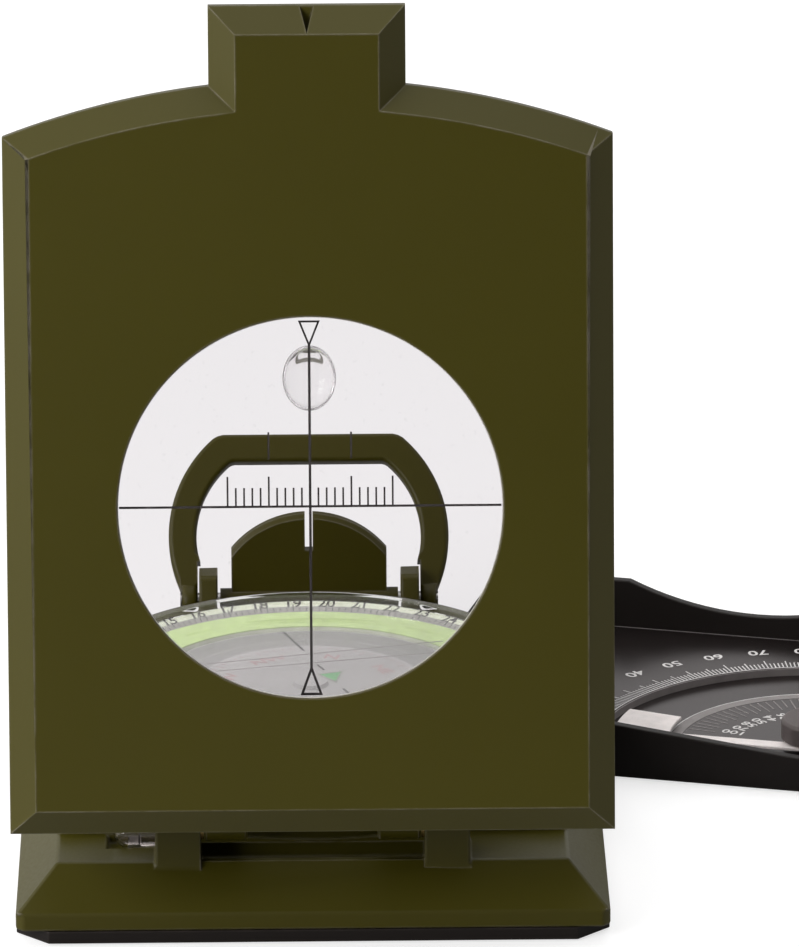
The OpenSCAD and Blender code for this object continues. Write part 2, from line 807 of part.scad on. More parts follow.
module thumb_ring() color(olive) on_rear_axis(ring_lean) {
    difference() {
        union() {
            translate([0, ring_t / 2, 0]) rotate([90, 0, 0]) linear_extrude(ring_t)
                both_sides() difference() {
                    ring_half_outline(ring_half_w, ring_outer_r, ring_h, ring_outer_fillet);
                    ring_half_outline(ring_half_w - ring_side_bar, ring_inner_r,
                        ring_h - ring_top_bar, ring_inner_fillet);
                    translate([-1, -10]) square([ring_leg_in + 1, 10 + rear_lug_h + 0.6]);
                    translate([-1, -20]) square([40, 20]);
                }
            both_sides() rod_x(ring_leg_in, ring_leg_w, rear_lug_r);
        }
        rod_x(-30, 60, rear_pin_r + pin_gap);
    }
}

// The tray's plan: a rectangle with rounded corners.
module tray_plan(inset) {
    r = tray_round - inset;
    intersection() {
        translate([inset, inset]) square([tray_l - 2 * inset, tray_w - 2 * inset]);
        union() {
            translate([tray_round, inset]) square([tray_l - 2 * tray_round, tray_w - 2 * inset]);
            translate([inset, tray_round]) square([tray_l - 2 * inset, tray_w - 2 * tray_round]);
            for (u = [tray_round, tray_l - tray_round], w = [tray_round, tray_w - tray_round])
                translate([u, w]) circle(r = r);
        }
    }
}

// What is cut from the tray's walls: a long slope in the near wall, which the end wall
// follows, and a round scoop in the middle of the far wall.
slope_from = 5;

module tray_cuts() {
    slope_to = scale_u + 1;
    translate([0, tray_round, 0]) rotate([90, 0, 0]) linear_extrude(tray_round + 1)
        polygon([
            [slope_from, tray_h_in], [slope_to, near_wall_h], [tray_l + 1, near_wall_h],
            [tray_l + 1, tray_h_in + 1], [slope_from, tray_h_in + 1]
        ]);
    translate([tray_l - tray_round, 0, 0]) rotate([90, 0, 90]) linear_extrude(tray_round + 1)
        polygon([
            [tray_round - over, near_wall_h], [tray_w - tray_round, tray_h_in],
            [tray_w - tray_round, tray_h_in + 1], [tray_round - over, tray_h_in + 1]
        ]);
    translate([tray_l / 2 + 1, tray_w + 1, scoop_h + scoop_r]) rotate([90, 0, 0])
        cylinder(h = tray_round + 1, r = scoop_r, $fn = 180);
}

module tray_shell() color(black) opened_tray() {
    boss_r = rivet_r + 2.6;
    difference() {
        union() {
            difference() {
                linear_extrude(tray_h_in) tray_plan(0);
                translate([0, 0, floor_t]) linear_extrude(tray_h_in) tray_plan(tray_wall);
                tray_cuts();
            }
            translate([pivot_u, pivot_w, 0]) cylinder(h = tray_h_in - 0.3, r = boss_r);
        }
        translate([pivot_u, pivot_w, -over]) cylinder(h = 20, r = bush_r + seat_gap);
    }
}

// A flanged bush lines the tray's pivot.
bush_r = rivet_r + 0.9;

module tray_bush() color(brass) {
    translate([tray_pivot.x, tray_pivot.y, 0.9])
        difference() {
            cylinder(h = tray_h_in - 0.9, r = bush_r);
            translate([0, 0, -over]) cylinder(h = tray_h_in, r = rivet_r + pin_gap);
        }
}

module tray_washer() color(steel) {
    translate([tray_pivot.x, tray_pivot.y, tray_h_in + 0.05])
        difference() {
            cylinder(h = deck_z0 - tray_h_in - 0.05, r = bush_r + 1.2);
            translate([0, 0, -over]) cylinder(h = 1, r = rivet_r + pin_gap);
        }
}

module tray_rivet() color(steel) {
    foot_z = 0.2;
    foot_t = 0.65;
    translate([tray_pivot.x, tray_pivot.y, 0]) {
        translate([0, 0, foot_z]) cylinder(h = deck_z - foot_z, r = rivet_r);
        translate([0, 0, foot_z]) cylinder(h = foot_t, r = bush_r - 0.1);
        translate([0, 0, deck_z]) rotate_extrude()
            intersection() {
                translate([0, -4.2]) circle(r = 5.2);
                square([rivet_r + 1.4, 1]);
            }
    }
}

// The scale plate fills the tray's floor round the pivot boss; its middle is recessed.
module clinometer_plate() color([0.13, 0.13, 0.14]) opened_tray() {
    gap = 0.1;
    from_u = pivot_u + rivet_r + 4.4;
    difference() {
        translate([0, 0, floor_t]) linear_extrude(plate_z - floor_t)
            intersection() {
                tray_plan(tray_wall + gap);
                translate([from_u, 0]) square([tray_l, tray_w]);
            }
        translate([scale_u, scale_w, recess_z]) cylinder(h = 5, r = recess_r);
        translate([scale_u, scale_w, 0]) cylinder(h = 5, r = pendulum_pin_r + pin_gap);
    }
}

module inner_scale_disc() color([0.16, 0.16, 0.17]) opened_tray() {
    intersection() {
        translate([scale_u, scale_w, recess_z])
            difference() {
                cylinder(h = disc_z - recess_z, r = disc_r);
                translate([0, 0, -over]) cylinder(h = 5, r = pendulum_pin_r + pin_gap);
            }
        linear_extrude(10) tray_plan(tray_wall + 0.1);
    }
}

module pendulum_pin() color(steel) at_scale_centre() {
    translate([0, 0, floor_t])
        cylinder(h = pendulum_z + pendulum_t + 0.1 - floor_t, r = pendulum_pin_r);
}

module hub_cap() color([0.1, 0.1, 0.11]) at_scale_centre() {
    z0 = pendulum_z + pendulum_t + 0.1;
    translate([0, 0, z0]) rotate_extrude()
        polygon([[0, 0], [hub_r, 0], [hub_r, hub_t - 0.3], [hub_r - 0.3, hub_t], [0, hub_t]]);
}

// The pendulum: an arm from one side of its hub to a wide head that is a sector of a ring.
head_in_r = 17;
head_out_r = 23.4;
head_half = 11;
arm_w = 1.8;
arm_offset = 2.2;
weight_w = 3.4;
weight_t = 0.5;

module pendulum() color([0.92, 0.92, 0.9]) at_scale_centre() {
    translate([0, 0, pendulum_z]) rotate(180 - pendulum_rest) linear_extrude(pendulum_t)
        difference() {
            union() {
                circle(r = pendulum_hub_r);
                translate([0, arm_offset]) square([head_in_r + 1, arm_w]);
                difference() {
                    intersection() {
                        circle(r = head_out_r);
                        polygon([
                            [0, 0], 30 * [cos(head_half), sin(head_half)],
                            30 * [cos(head_half), -sin(head_half)]
                        ]);
                    }
                    circle(r = head_in_r);
                }
            }
            circle(r = pendulum_pin_r + pin_gap);
        }
}

module pendulum_weight() color(brass) at_scale_centre() {
    rotate(180 - pendulum_rest)
        translate([head_in_r + 1.2, -weight_w / 2, pendulum_z - weight_t])
            cube([weight_w, weight_w, weight_t]);
}

base_body();
bottom_plate();
bottom_plate_screws();
capsule_bowl();
pivot_post();
level_vial();
vial_cradle();
lid_hinge_pins();
lid_hinge_washers();
rear_hinge_pin();
tray_rivet();
tray_washer();
bezel_retaining_ring();
bezel_ring();
dial_cover();
azimuth_ring();
luminous_ring();
compass_card();
card_magnet();
jewel_cup();
lid_shell();
lid_window();
window_retainer();
reading_lens();
sight_plate();
thumb_ring();
tray_shell();
tray_bush();
clinometer_plate();
inner_scale_disc();
pendulum_pin();
hub_cap();
pendulum();
pendulum_weight();
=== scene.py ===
"""Sighting compass: finishes, printed scales and rounded castings round the CAD frame.

Sizes are in millimetres in the code and in metres in the meshes. X runs to the right,
Y away from the lid's hinge and Z up, as in the CAD model, which stands with its lid open.
"""

import math

import bmesh
import bpy
from mathutils import Matrix, Vector


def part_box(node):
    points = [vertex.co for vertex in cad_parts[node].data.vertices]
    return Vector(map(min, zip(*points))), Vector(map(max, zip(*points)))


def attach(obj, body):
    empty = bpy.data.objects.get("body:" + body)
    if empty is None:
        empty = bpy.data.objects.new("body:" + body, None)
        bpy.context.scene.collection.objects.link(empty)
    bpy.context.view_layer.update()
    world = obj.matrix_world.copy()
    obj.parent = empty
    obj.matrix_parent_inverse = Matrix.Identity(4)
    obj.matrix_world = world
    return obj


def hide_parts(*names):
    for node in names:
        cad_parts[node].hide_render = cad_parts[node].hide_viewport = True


bl_info = {
    "name": "Sighting Compass",
    "version": (1, 0, 0),
    "blender": (4, 5, 0),
    "location": "View3D > Sidebar > Compass",
    "description": "Builds the visible pieces of a sighting compass with a clinometer",
    "category": "Add Mesh",
}

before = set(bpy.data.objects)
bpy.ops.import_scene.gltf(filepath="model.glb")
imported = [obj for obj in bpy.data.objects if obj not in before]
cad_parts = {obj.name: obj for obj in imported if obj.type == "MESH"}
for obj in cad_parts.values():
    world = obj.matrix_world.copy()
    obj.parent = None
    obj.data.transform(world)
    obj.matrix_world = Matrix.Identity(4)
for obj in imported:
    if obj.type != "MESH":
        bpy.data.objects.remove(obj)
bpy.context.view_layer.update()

MM = 0.001

# Driving sizes and places of the CAD model, in millimetres
LID_HINGE = (-9.8, 11.9)
LID_OPEN = math.radians(80)
CASE_W = 63.8
CASE_TOP = 33.0
LID_Y = -7.9
LID_LENGTH = 79.7
LID_UNDER = 28.5
GLASS_UNDER = 28.9
WINDOW_Y = 26.6
DIAL_Y = 22.0
NUMBER_Z = 15.9
CARD_Z = 15.5
TRAY_PIVOT = (21.9, 50.009)
TRAY_YAW = math.radians(-15)
TRAY_ORIGIN = (-8.1, -12.0)
SCALE_CENTRE = (45.5, 9.3)
PLATE_Z = 2.6
RECESS_FLOOR = 1.7
DISC_Z = 2.2

# How far the printed marks' undersides and faces lie over what carries them, in millimetres
INK_LOW = 0.005
INK_HIGH = 0.03
THIN_INK_HIGH = 0.025

# Steps of the full rings round the window and the dial, the clinometer's scale and the vial
ROUND_STEPS = 160
SCALE_STEPS = 180
VIAL_STEPS = 40
SPIRIT_STEPS = 32


def lid_place():
    """Turns what is drawn on the closed lid into the open lid's place, in metres."""
    hinge = Vector((0, LID_HINGE[0], LID_HINGE[1]))
    turn = Matrix.Rotation(LID_OPEN, 4, "X")
    return Matrix.Scale(MM, 4) @ Matrix.Translation(hinge) @ turn @ Matrix.Translation(-hinge)


def tray_place():
    """Puts what is drawn in the tray's own frame on the open tray, in metres."""
    pivot = Vector((TRAY_PIVOT[0], TRAY_PIVOT[1], 0))
    shift = Vector((TRAY_ORIGIN[0], TRAY_ORIGIN[1], 0))
    turn = Matrix.Rotation(TRAY_YAW, 4, "Z")
    return Matrix.Scale(MM, 4) @ Matrix.Translation(pivot) @ turn @ Matrix.Translation(shift)


def scale_place():
    """Puts what is drawn round the clinometer's pivot on the open tray, in metres."""
    return tray_place() @ Matrix.Translation((SCALE_CENTRE[0], SCALE_CENTRE[1], 0))


def dial_place():
    """Puts what is drawn round the dial's axis in its place, in metres."""
    return Matrix.Scale(MM, 4) @ Matrix.Translation((0, DIAL_Y, 0))


def world_place():
    """Turns millimetres of the CAD frame into metres."""
    return Matrix.Scale(MM, 4)


# Colours and sizes that a user may change

def colour_property(label, text, value):
    """A colour in linear light with its tooltip."""
    return bpy.props.FloatVectorProperty(
        name=label, description=text, subtype="COLOR", size=3, min=0.0, max=1.0, default=value)


def size_property(label, text, value, low, high):
    """A length in millimetres with its tooltip."""
    return bpy.props.FloatProperty(name=label, description=text, default=value, min=low, max=high)


class CompassColours(bpy.types.PropertyGroup):
    """Colours of the compass's finishes."""

    olive: colour_property("Olive", "Paint of the case and the lid", (0.042, 0.036, 0.0015))
    black: colour_property("Black", "Paint of the bottom plate and the tray", (0.0110, 0.0086, 0.0075))
    scale: colour_property("Scale", "Anodised plate of the clinometer", (0.009, 0.007, 0.0066))
    print_black: colour_property("Dark print", "Lines on the window", (0.012, 0.008, 0.007))
    print_white: colour_property("White print", "Numbers of the clinometer", (0.62, 0.60, 0.59))
    number_band: colour_property("Number band", "Band behind the numbers", (0.70, 0.74, 0.58))
    luminous: colour_property("Luminous", "Green ring of the dial", (0.47, 0.62, 0.22))
    card: colour_property("Card", "Compass card", (0.36, 0.345, 0.345))
    pendulum: colour_property("Pendulum", "White enamel of the pendulum", (0.72, 0.66, 0.64))
    brass: colour_property("Brass", "Brass fittings", (0.60, 0.42, 0.17))
    steel: colour_property("Steel", "Pins, washers and screws", (0.56, 0.55, 0.53))


class CompassSizes(bpy.types.PropertyGroup):
    """Sizes of the compass's fine features, in millimetres."""

    case_round: size_property("Case edges", "Rounding of the castings' edges", 0.3, 0.05, 0.4)
    sheet_round: size_property("Sheet edges", "Rounding of thin pieces' edges", 0.12, 0.02, 0.3)
    hairline: size_property("Hairline", "Width of the lines on the window", 0.24, 0.05, 0.4)
    number_height: size_property("Dial numbers", "Size of the dial's numbers", 1.7, 0.6, 2.4)
    scale_height: size_property("Scale numbers", "Size of the clinometer's numbers", 2.1, 1, 3)


def colours():
    """The scene's colour settings."""
    return bpy.context.scene.compass_colours


def sizes():
    """The scene's size settings."""
    return bpy.context.scene.compass_sizes


# Materials

def node_group(name, inputs, outputs):
    """An empty shader group with number inputs and the given outputs."""
    group = bpy.data.node_groups.new(name, "ShaderNodeTree")
    for label, value in inputs:
        socket = group.interface.new_socket(label, in_out="INPUT", socket_type="NodeSocketFloat")
        socket.default_value = value
    for label in outputs:
        group.interface.new_socket(label, in_out="OUTPUT", socket_type="NodeSocketFloat")
    return group, group.nodes.new("NodeGroupInput"), group.nodes.new("NodeGroupOutput")


def noise(tree, coordinates, detail, roughness):
    """A noise texture that reads the given coordinates."""
    node = tree.nodes.new("ShaderNodeTexNoise")
    node.inputs["Detail"].default_value = detail
    node.inputs["Roughness"].default_value = roughness
    tree.links.new(coordinates, node.inputs["Vector"])
    return node


def map_range(tree, source, low, high, to_low=0.0, to_high=1.0):
    """Spreads the part of a value between low and high over a new range."""
    node = tree.nodes.new("ShaderNodeMapRange")
    node.inputs["From Min"].default_value = low
    node.inputs["From Max"].default_value = high
    node.inputs["To Min"].default_value = to_low
    node.inputs["To Max"].default_value = to_high
    tree.links.new(source, node.inputs["Value"])
    return node.outputs["Result"]


def calculate(tree, operation, first, second):
    """The result of one operation on two values, each a socket or a number."""
    node = tree.nodes.new("ShaderNodeMath")
    node.operation = operation
    for socket, value in zip(node.inputs, (first, second)):
        if isinstance(value, float):
            socket.default_value = value
        else:
            tree.links.new(value, socket)
    return node.outputs[0]


def seen_directly(tree):
    """One on rays from the camera, also through clear pieces, and zero on the others."""
    light = tree.nodes.new("ShaderNodeLightPath").outputs
    return calculate(tree, "MAXIMUM", light["Is Camera Ray"], light["Is Transmission Ray"])


def build_grain_group():
    """Fine surface grain: a slow tone, a fine height and specks of dust."""
    group, inputs, outputs = node_group(
        "SurfaceGrain", [("Tone Scale", 60.0), ("Grain Scale", 2500.0), ("Dust Scale", 1400.0)],
        ["Tone", "Height", "Dust"])
    place = group.nodes.new("ShaderNodeTexCoord").outputs["Object"]
    tone = noise(group, place, 4.0, 0.6)
    group.links.new(inputs.outputs["Tone Scale"], tone.inputs["Scale"])
    grain = noise(group, place, 3.0, 0.55)
    group.links.new(inputs.outputs["Grain Scale"], grain.inputs["Scale"])
    dust = noise(group, place, 1.0, 0.4)
    group.links.new(inputs.outputs["Dust Scale"], dust.inputs["Scale"])
    group.links.new(map_range(group, tone.outputs["Fac"], 0.3, 0.7), outputs.inputs["Tone"])
    group.links.new(grain.outputs["Fac"], outputs.inputs["Height"])
    group.links.new(map_range(group, dust.outputs["Fac"], 0.70, 0.78), outputs.inputs["Dust"])
    return group


def build_wear_group():
    """Lighter colour along outer edges, broken up by noise: partly wear and partly a painted highlight
    on the rounded edges.
    """
    group, inputs, outputs = node_group(
        "EdgeWearAndHighlight", [("Scale", 350.0), ("Radius", 0.0003)], ["Mask"])
    rounded = group.nodes.new("ShaderNodeBevel")
    group.links.new(inputs.outputs["Radius"], rounded.inputs["Radius"])
    normal = group.nodes.new("ShaderNodeNewGeometry").outputs["Normal"]
    likeness = group.nodes.new("ShaderNodeVectorMath")
    likeness.operation = "DOT_PRODUCT"
    group.links.new(rounded.outputs["Normal"], likeness.inputs[0])
    group.links.new(normal, likeness.inputs[1])
    rim = map_range(group, likeness.outputs["Value"], 0.995, 0.93)
    place = group.nodes.new("ShaderNodeTexCoord").outputs["Object"]
    patches = noise(group, place, 5.0, 0.65)
    group.links.new(inputs.outputs["Scale"], patches.inputs["Scale"])
    spots = map_range(group, patches.outputs["Fac"], 0.35, 0.6, 0.25, 1.0)
    group.links.new(calculate(group, "MULTIPLY", rim, spots), outputs.inputs["Mask"])
    return group


class Finish:
    """A material under construction: its tree, shader and group outputs."""

    def __init__(self, name):
        self.material = bpy.data.materials.new(name)
        self.material.use_nodes = True
        self.tree = self.material.node_tree
        self.shader = self.tree.nodes["Principled BSDF"]

    def group(self, name, **values):
        """Places a shared group with its own values."""
        node = self.tree.nodes.new("ShaderNodeGroup")
        node.node_tree = bpy.data.node_groups[name]
        for label, value in values.items():
            node.inputs[label.replace("_", " ")].default_value = value
        return node.outputs

    def mix(self, factor, first, second):
        """A colour between two others, each a socket or a colour."""
        node = self.tree.nodes.new("ShaderNodeMix")
        node.data_type = "RGBA"
        self.tree.links.new(factor, node.inputs["Factor"])
        for label, value in (("A", first), ("B", second)):
            socket = next(s for s in node.inputs if s.name == label and s.type == "RGBA")
            if isinstance(value, bpy.types.NodeSocket):
                self.tree.links.new(value, socket)
            else:
                socket.default_value = (*value, 1.0)
        return next(s for s in node.outputs if s.type == "RGBA")

    def bump(self, height, strength, distance):
        """Feeds a height to the shader's normal."""
        node = self.tree.nodes.new("ShaderNodeBump")
        node.inputs["Strength"].default_value = strength
        node.inputs["Distance"].default_value = distance * MM
        self.tree.links.new(height, node.inputs["Height"])
        self.tree.links.new(node.outputs["Normal"], self.shader.inputs["Normal"])

    def link(self, source, label):
        """Feeds a socket to one of the shader's inputs."""
        self.tree.links.new(source, self.shader.inputs[label])

    def set(self, **values):
        """Sets constants on the shader's own sockets."""
        for label, value in values.items():
            self.shader.inputs[label.replace("_", " ")].default_value = value


def shade(colour, factor):
    """A colour made lighter or darker."""
    return tuple(min(1.0, channel * factor) for channel in colour)


def painted(name, colour, roughness, grain, wear_and_highlight_colour, specular=0.3, tone=0.04):
    """Satin paint with fine orange peel and lighter edges, partly rubbed and partly a painted
    highlight.
    """
    finish = Finish(name)
    grains = finish.group("SurfaceGrain", Tone_Scale=24.0, Grain_Scale=2600.0)
    base = finish.mix(grains["Tone"], shade(colour, 1 - tone), shade(colour, 1 + tone))
    # The edge mask lightens edges as wear and as a painted highlight.
    wear_and_highlight = finish.group("EdgeWearAndHighlight", Scale=260.0, Radius=0.3 * MM)
    finish.link(finish.mix(wear_and_highlight["Mask"], base, wear_and_highlight_colour), "Base Color")
    finish.link(map_range(finish.tree, grains["Height"], 0.3, 0.7, roughness - 0.03,
                          roughness + 0.04), "Roughness")
    finish.bump(grains["Height"], grain, 0.012)
    finish.set(Specular_IOR_Level=specular)
    return finish.material


def machined(name, colour, roughness, tone=0.12):
    """Bare metal with fine grain."""
    finish = Finish(name)
    grains = finish.group("SurfaceGrain", Tone_Scale=400.0, Grain_Scale=6000.0)
    finish.link(finish.mix(grains["Tone"], shade(colour, 1 - tone), shade(colour, 1 + tone)),
                "Base Color")
    finish.link(map_range(finish.tree, grains["Tone"], 0, 1, roughness - 0.06, roughness + 0.08),
                "Roughness")
    finish.bump(grains["Height"], 0.15, 0.01)
    finish.set(Metallic=1.0)
    return finish.material


def printed(name, colour, roughness=0.5, glow=0.0):
    """Printing ink with a slightly uneven tone."""
    finish = Finish(name)
    grains = finish.group("SurfaceGrain", Tone_Scale=500.0, Grain_Scale=5000.0)
    tone = finish.mix(grains["Tone"], shade(colour, 0.86), shade(colour, 1.1))
    finish.link(tone, "Base Color")
    finish.link(map_range(finish.tree, grains["Height"], 0.3, 0.7, roughness - 0.1, roughness + 0.1),
                "Roughness")
    if glow:
        finish.link(tone, "Emission Color")
        finish.set(Emission_Strength=glow)
    return finish.material


def clear(name, colour, roughness, index, shadow_pass=0.9, milk=0.0, coat=0.0):
    """Glass or clear plastic that lets most light through to what lies under it."""
    finish = Finish(name)
    grains = finish.group("SurfaceGrain", Tone_Scale=120.0, Dust_Scale=1700.0)
    finish.link(finish.mix(grains["Dust"], colour, shade(colour, 0.93)), "Base Color")
    finish.link(map_range(finish.tree, grains["Tone"], 0, 1, roughness, roughness + 0.02),
                "Roughness")
    light = finish.tree.nodes.new("ShaderNodeLightPath")
    finish.link(map_range(finish.tree, light.outputs["Is Shadow Ray"], 0, 1, 1.0,
                          1.0 - shadow_pass), "Alpha")
    finish.set(Transmission_Weight=1.0 - milk, IOR=index, Coat_Weight=coat,
               Coat_Roughness=0.03, Coat_IOR=1.5)
    return finish.material


def radial_distance(finish, centre):
    """Distance in millimetres from a vertical axis, as a socket."""
    tree = finish.tree
    place = tree.nodes.new("ShaderNodeTexCoord").outputs["Object"]
    mapping = tree.nodes.new("ShaderNodeMapping")
    mapping.vector_type = "TEXTURE"
    mapping.inputs["Location"].default_value = (centre[0] * MM, centre[1] * MM, 0)
    mapping.inputs["Scale"].default_value = (MM, MM, 1000.0)
    tree.links.new(place, mapping.inputs["Vector"])
    length = tree.nodes.new("ShaderNodeVectorMath")
    length.operation = "LENGTH"
    tree.links.new(mapping.outputs["Vector"], length.inputs[0])
    return length.outputs["Value"]


def card_material(colour):
    """Compass card: a darker lilac grey rim, which is partly a painted shadow of the rings round the
    card, a paler middle and fine rings between them.
    """
    finish = Finish("card_finish")
    distance = radial_distance(finish, (0, DIAL_Y))
    grains = finish.group("SurfaceGrain", Tone_Scale=160.0, Grain_Scale=3000.0)
    ramp = finish.tree.nodes.new("ShaderNodeValToRGB")
    ramp.color_ramp.interpolation = "LINEAR"
    finish.tree.links.new(map_range(finish.tree, distance, 0, 20), ramp.inputs["Fac"])
    # Share of the radius and brightness, from the middle to the rim; the darker outer band is partly a
    # painted shadow
    stops = [(0.0, 1.2), (0.60, 1.15), (0.625, 1.35), (0.645, 0.70), (0.72, 0.64), (0.735, 0.9),
             (0.75, 0.60), (0.87, 0.54), (0.885, 1.0)]
    elements = ramp.color_ramp.elements
    while len(elements) < len(stops):
        elements.new(0.5)
    for element, (place, level) in zip(elements, stops):
        element.position = place
        element.color = (*shade(colour, level), 1.0)
    patches = calculate(finish.tree, "MULTIPLY", grains["Tone"], 0.35)
    finish.link(finish.mix(patches, ramp.outputs["Color"], shade(colour, 0.75)), "Base Color")
    finish.link(map_range(finish.tree, grains["Height"], 0.3, 0.7, 0.35, 0.5), "Roughness")
    finish.bump(grains["Height"], 0.1, 0.01)
    return finish.material


def scale_material(colour):
    """Satin anodised plate of the clinometer."""
    finish = Finish("scale_finish")
    grains = finish.group("SurfaceGrain", Tone_Scale=90.0, Grain_Scale=4200.0, Dust_Scale=1100.0)
    base = finish.mix(grains["Tone"], shade(colour, 0.9), shade(colour, 1.12))
    finish.link(finish.mix(grains["Dust"], base, shade(colour, 1.8)), "Base Color")
    finish.link(map_range(finish.tree, grains["Tone"], 0, 1, 0.22, 0.27), "Roughness")
    finish.bump(grains["Height"], 0.15, 0.006)
    finish.set(Specular_IOR_Level=0.5, Specular_Tint=(1.0, 0.78, 0.77, 1.0))
    return finish.material


MATERIALS = {}


def build_materials():
    """Makes every finish of the compass."""
    build_grain_group()
    build_wear_group()
    tone = colours()
    olive = tuple(tone.olive)
    black = tuple(tone.black)
    # Edge colours of the paints below are partly wear and partly a painted highlight along the rounded
    # edges.
    worn_and_highlit = (0.14, 0.125, 0.09)
    MATERIALS["olive"] = painted("olive_finish", olive, 0.42, 0.25, worn_and_highlit, 0.21)
    MATERIALS["black"] = painted("black_finish", black, 0.45, 0.3, shade(black, 2.5), 0.16)
    MATERIALS["bezel"] = painted("bezel_finish", (0.020, 0.020, 0.017), 0.4, 0.2,
                                 (0.10, 0.10, 0.09), 0.4)
    MATERIALS["bowl"] = machined("bowl_finish", (0.42, 0.41, 0.40), 0.42)
    MATERIALS["steel"] = machined("steel_finish", tuple(tone.steel), 0.28)
    MATERIALS["brass"] = machined("brass_finish", tuple(tone.brass), 0.3)
    MATERIALS["glass"] = clear("window_glass_finish", (0.69, 0.673, 0.684), 0.0, 1.06)
    MATERIALS["lens"] = clear("lens_finish", (0.93, 0.925, 0.925), 0.05, 1.4, milk=0.1)
    MATERIALS["cover"] = clear("cover_finish", (0.96, 0.965, 0.95), 0.01, 1.03, coat=1.0)
    MATERIALS["vial_glass"] = clear("vial_glass_finish", (0.97, 0.95, 0.95), 0.0, 1.3)
    MATERIALS["vial_liquid"] = clear("vial_liquid_finish", (0.94, 0.90, 0.88), 0.0, 1.2)
    # Pale ink of the ring round the window: a painted highlight of its edge.
    MATERIALS["edge_highlight"] = printed("edge_highlight_finish", (0.55, 0.52, 0.48), 0.3)
    MATERIALS["scale"] = scale_material(tuple(tone.scale))
    MATERIALS["hub"] = painted("hub_finish", (0.085, 0.070, 0.068), 0.45, 0.1,
                               (0.20, 0.17, 0.165), 0.2)
    MATERIALS["card"] = card_material(tuple(tone.card))
    MATERIALS["dark_print"] = printed("dark_print_finish", tuple(tone.print_black), 0.6)
    MATERIALS["white_print"] = printed("white_print_finish", tuple(tone.print_white), 0.55)
    MATERIALS["grey_print"] = printed("grey_print_finish", (0.20, 0.18, 0.175), 0.5)
    MATERIALS["faint_print"] = printed("faint_print_finish", (0.45, 0.27, 0.28), 0.5)
    MATERIALS["green_print"] = printed("green_print_finish", (0.10, 0.42, 0.13), 0.45)
    MATERIALS["number_band"] = printed("number_band_finish", tuple(tone.number_band), 0.4)
    MATERIALS["tick_band"] = printed("tick_band_finish", (0.30, 0.29, 0.27), 0.4)
    MATERIALS["luminous"] = printed("luminous_finish", tuple(tone.luminous), 0.5, 0.06)
    MATERIALS["pendulum"] = printed("pendulum_finish", tuple(tone.pendulum), 0.35)
    MATERIALS["magnet"] = machined("magnet_finish", (0.22, 0.22, 0.23), 0.45)


# Mesh helpers

def show_object(name, mesh, material, body):
    """Links a mesh that is already in its place and lets it ride on a CAD body."""
    mesh.name = name
    mesh.materials.clear()
    mesh.materials.append(MATERIALS[material])
    piece = bpy.data.objects.new(name, mesh)
    bpy.context.scene.collection.objects.link(piece)
    weighted = piece.modifiers.new("flat_faces", "WEIGHTED_NORMAL")
    weighted.keep_sharp = True
    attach(piece, body)
    return piece


def sharp_edges(bm, angle=20.0):
    """The edges between faces that meet at more than an angle."""
    bm.normal_update()
    limit = math.radians(angle)
    return [edge for edge in bm.edges
            if len(edge.link_faces) == 2 and edge.calc_face_angle(0) > limit]


def round_edges(bm, edges, width, segments=3):
    """Rounds some edges of a mesh."""
    bmesh.ops.bevel(bm, geom=edges, offset=width, offset_type="OFFSET", segments=segments,
                    profile=0.5, affect="EDGES", clamp_overlap=True, material=-1)


def new_verts(made):
    """The vertices that an extrusion made."""
    return [item for item in made["geom"] if isinstance(item, bmesh.types.BMVert)]


def thicken(bm, faces, shift):
    """Extrudes faces along a vector."""
    made = bmesh.ops.extrude_face_region(bm, geom=faces)
    bmesh.ops.translate(bm, vec=shift, verts=new_verts(made))


def plain_mesh(bm, name):
    """Turns a bmesh into a mesh as it is."""
    mesh = bpy.data.meshes.new(name)
    bm.to_mesh(mesh)
    bm.free()
    return mesh


def join(bm, loose):
    """Moves everything of one bmesh into another."""
    scratch = plain_mesh(loose, "scratch")
    bm.from_mesh(scratch)
    bpy.data.meshes.remove(scratch)


def add_prism(bm, points, start, length, rounding, seat_z=None):
    """Adds a prism along X from a profile of (y, z) points, rounded but for its flat seat."""
    loose = bmesh.new()
    face = loose.faces.new([loose.verts.new((start, y, z)) for y, z in points])
    thicken(loose, [face], (length, 0, 0))
    bmesh.ops.recalc_face_normals(loose, faces=loose.faces)
    edges = sharp_edges(loose)
    if seat_z is not None:
        edges = [edge for edge in edges
                 if any(abs(vert.co.z - seat_z) > 1e-4 for vert in edge.verts)]
    round_edges(loose, edges, rounding)
    join(bm, loose)


def carved(mesh, cutter):
    """A mesh with a cutter's shape taken out of it."""
    body = bpy.data.objects.new("carved", mesh)
    tool = bpy.data.objects.new("cutter", cutter)
    for item in (body, tool):
        bpy.context.scene.collection.objects.link(item)
    cut = body.modifiers.new("cut", "BOOLEAN")
    cut.operation = "DIFFERENCE"
    cut.solver = "EXACT"
    cut.object = tool
    graph = bpy.context.evaluated_depsgraph_get()
    result = bpy.data.meshes.new_from_object(body.evaluated_get(graph))
    for item in (body, tool):
        bpy.data.objects.remove(item)
    for scratch in (mesh, cutter):
        bpy.data.meshes.remove(scratch)
    return result


def finish_mesh(bm, name, place=None, smooth_angle=30.0, recalculate=False):
    """Turns a bmesh into a mesh in metres with smooth faces between its sharp edges."""
    if recalculate:
        bmesh.ops.remove_doubles(bm, verts=bm.verts, dist=1e-5)
        bmesh.ops.recalc_face_normals(bm, faces=bm.faces)
    if place is not None:
        bmesh.ops.transform(bm, matrix=place, verts=bm.verts)
    for face in bm.faces:
        face.smooth = True
    mesh = plain_mesh(bm, name)
    mesh.set_sharp_from_angle(angle=math.radians(smooth_angle))
    return mesh


def show_mesh(bm, name, place, material, body, slot_name, **shape):
    """Finishes a bmesh in its place and shows it."""
    return show_object(name, finish_mesh(bm, name, place, **shape), material, body)


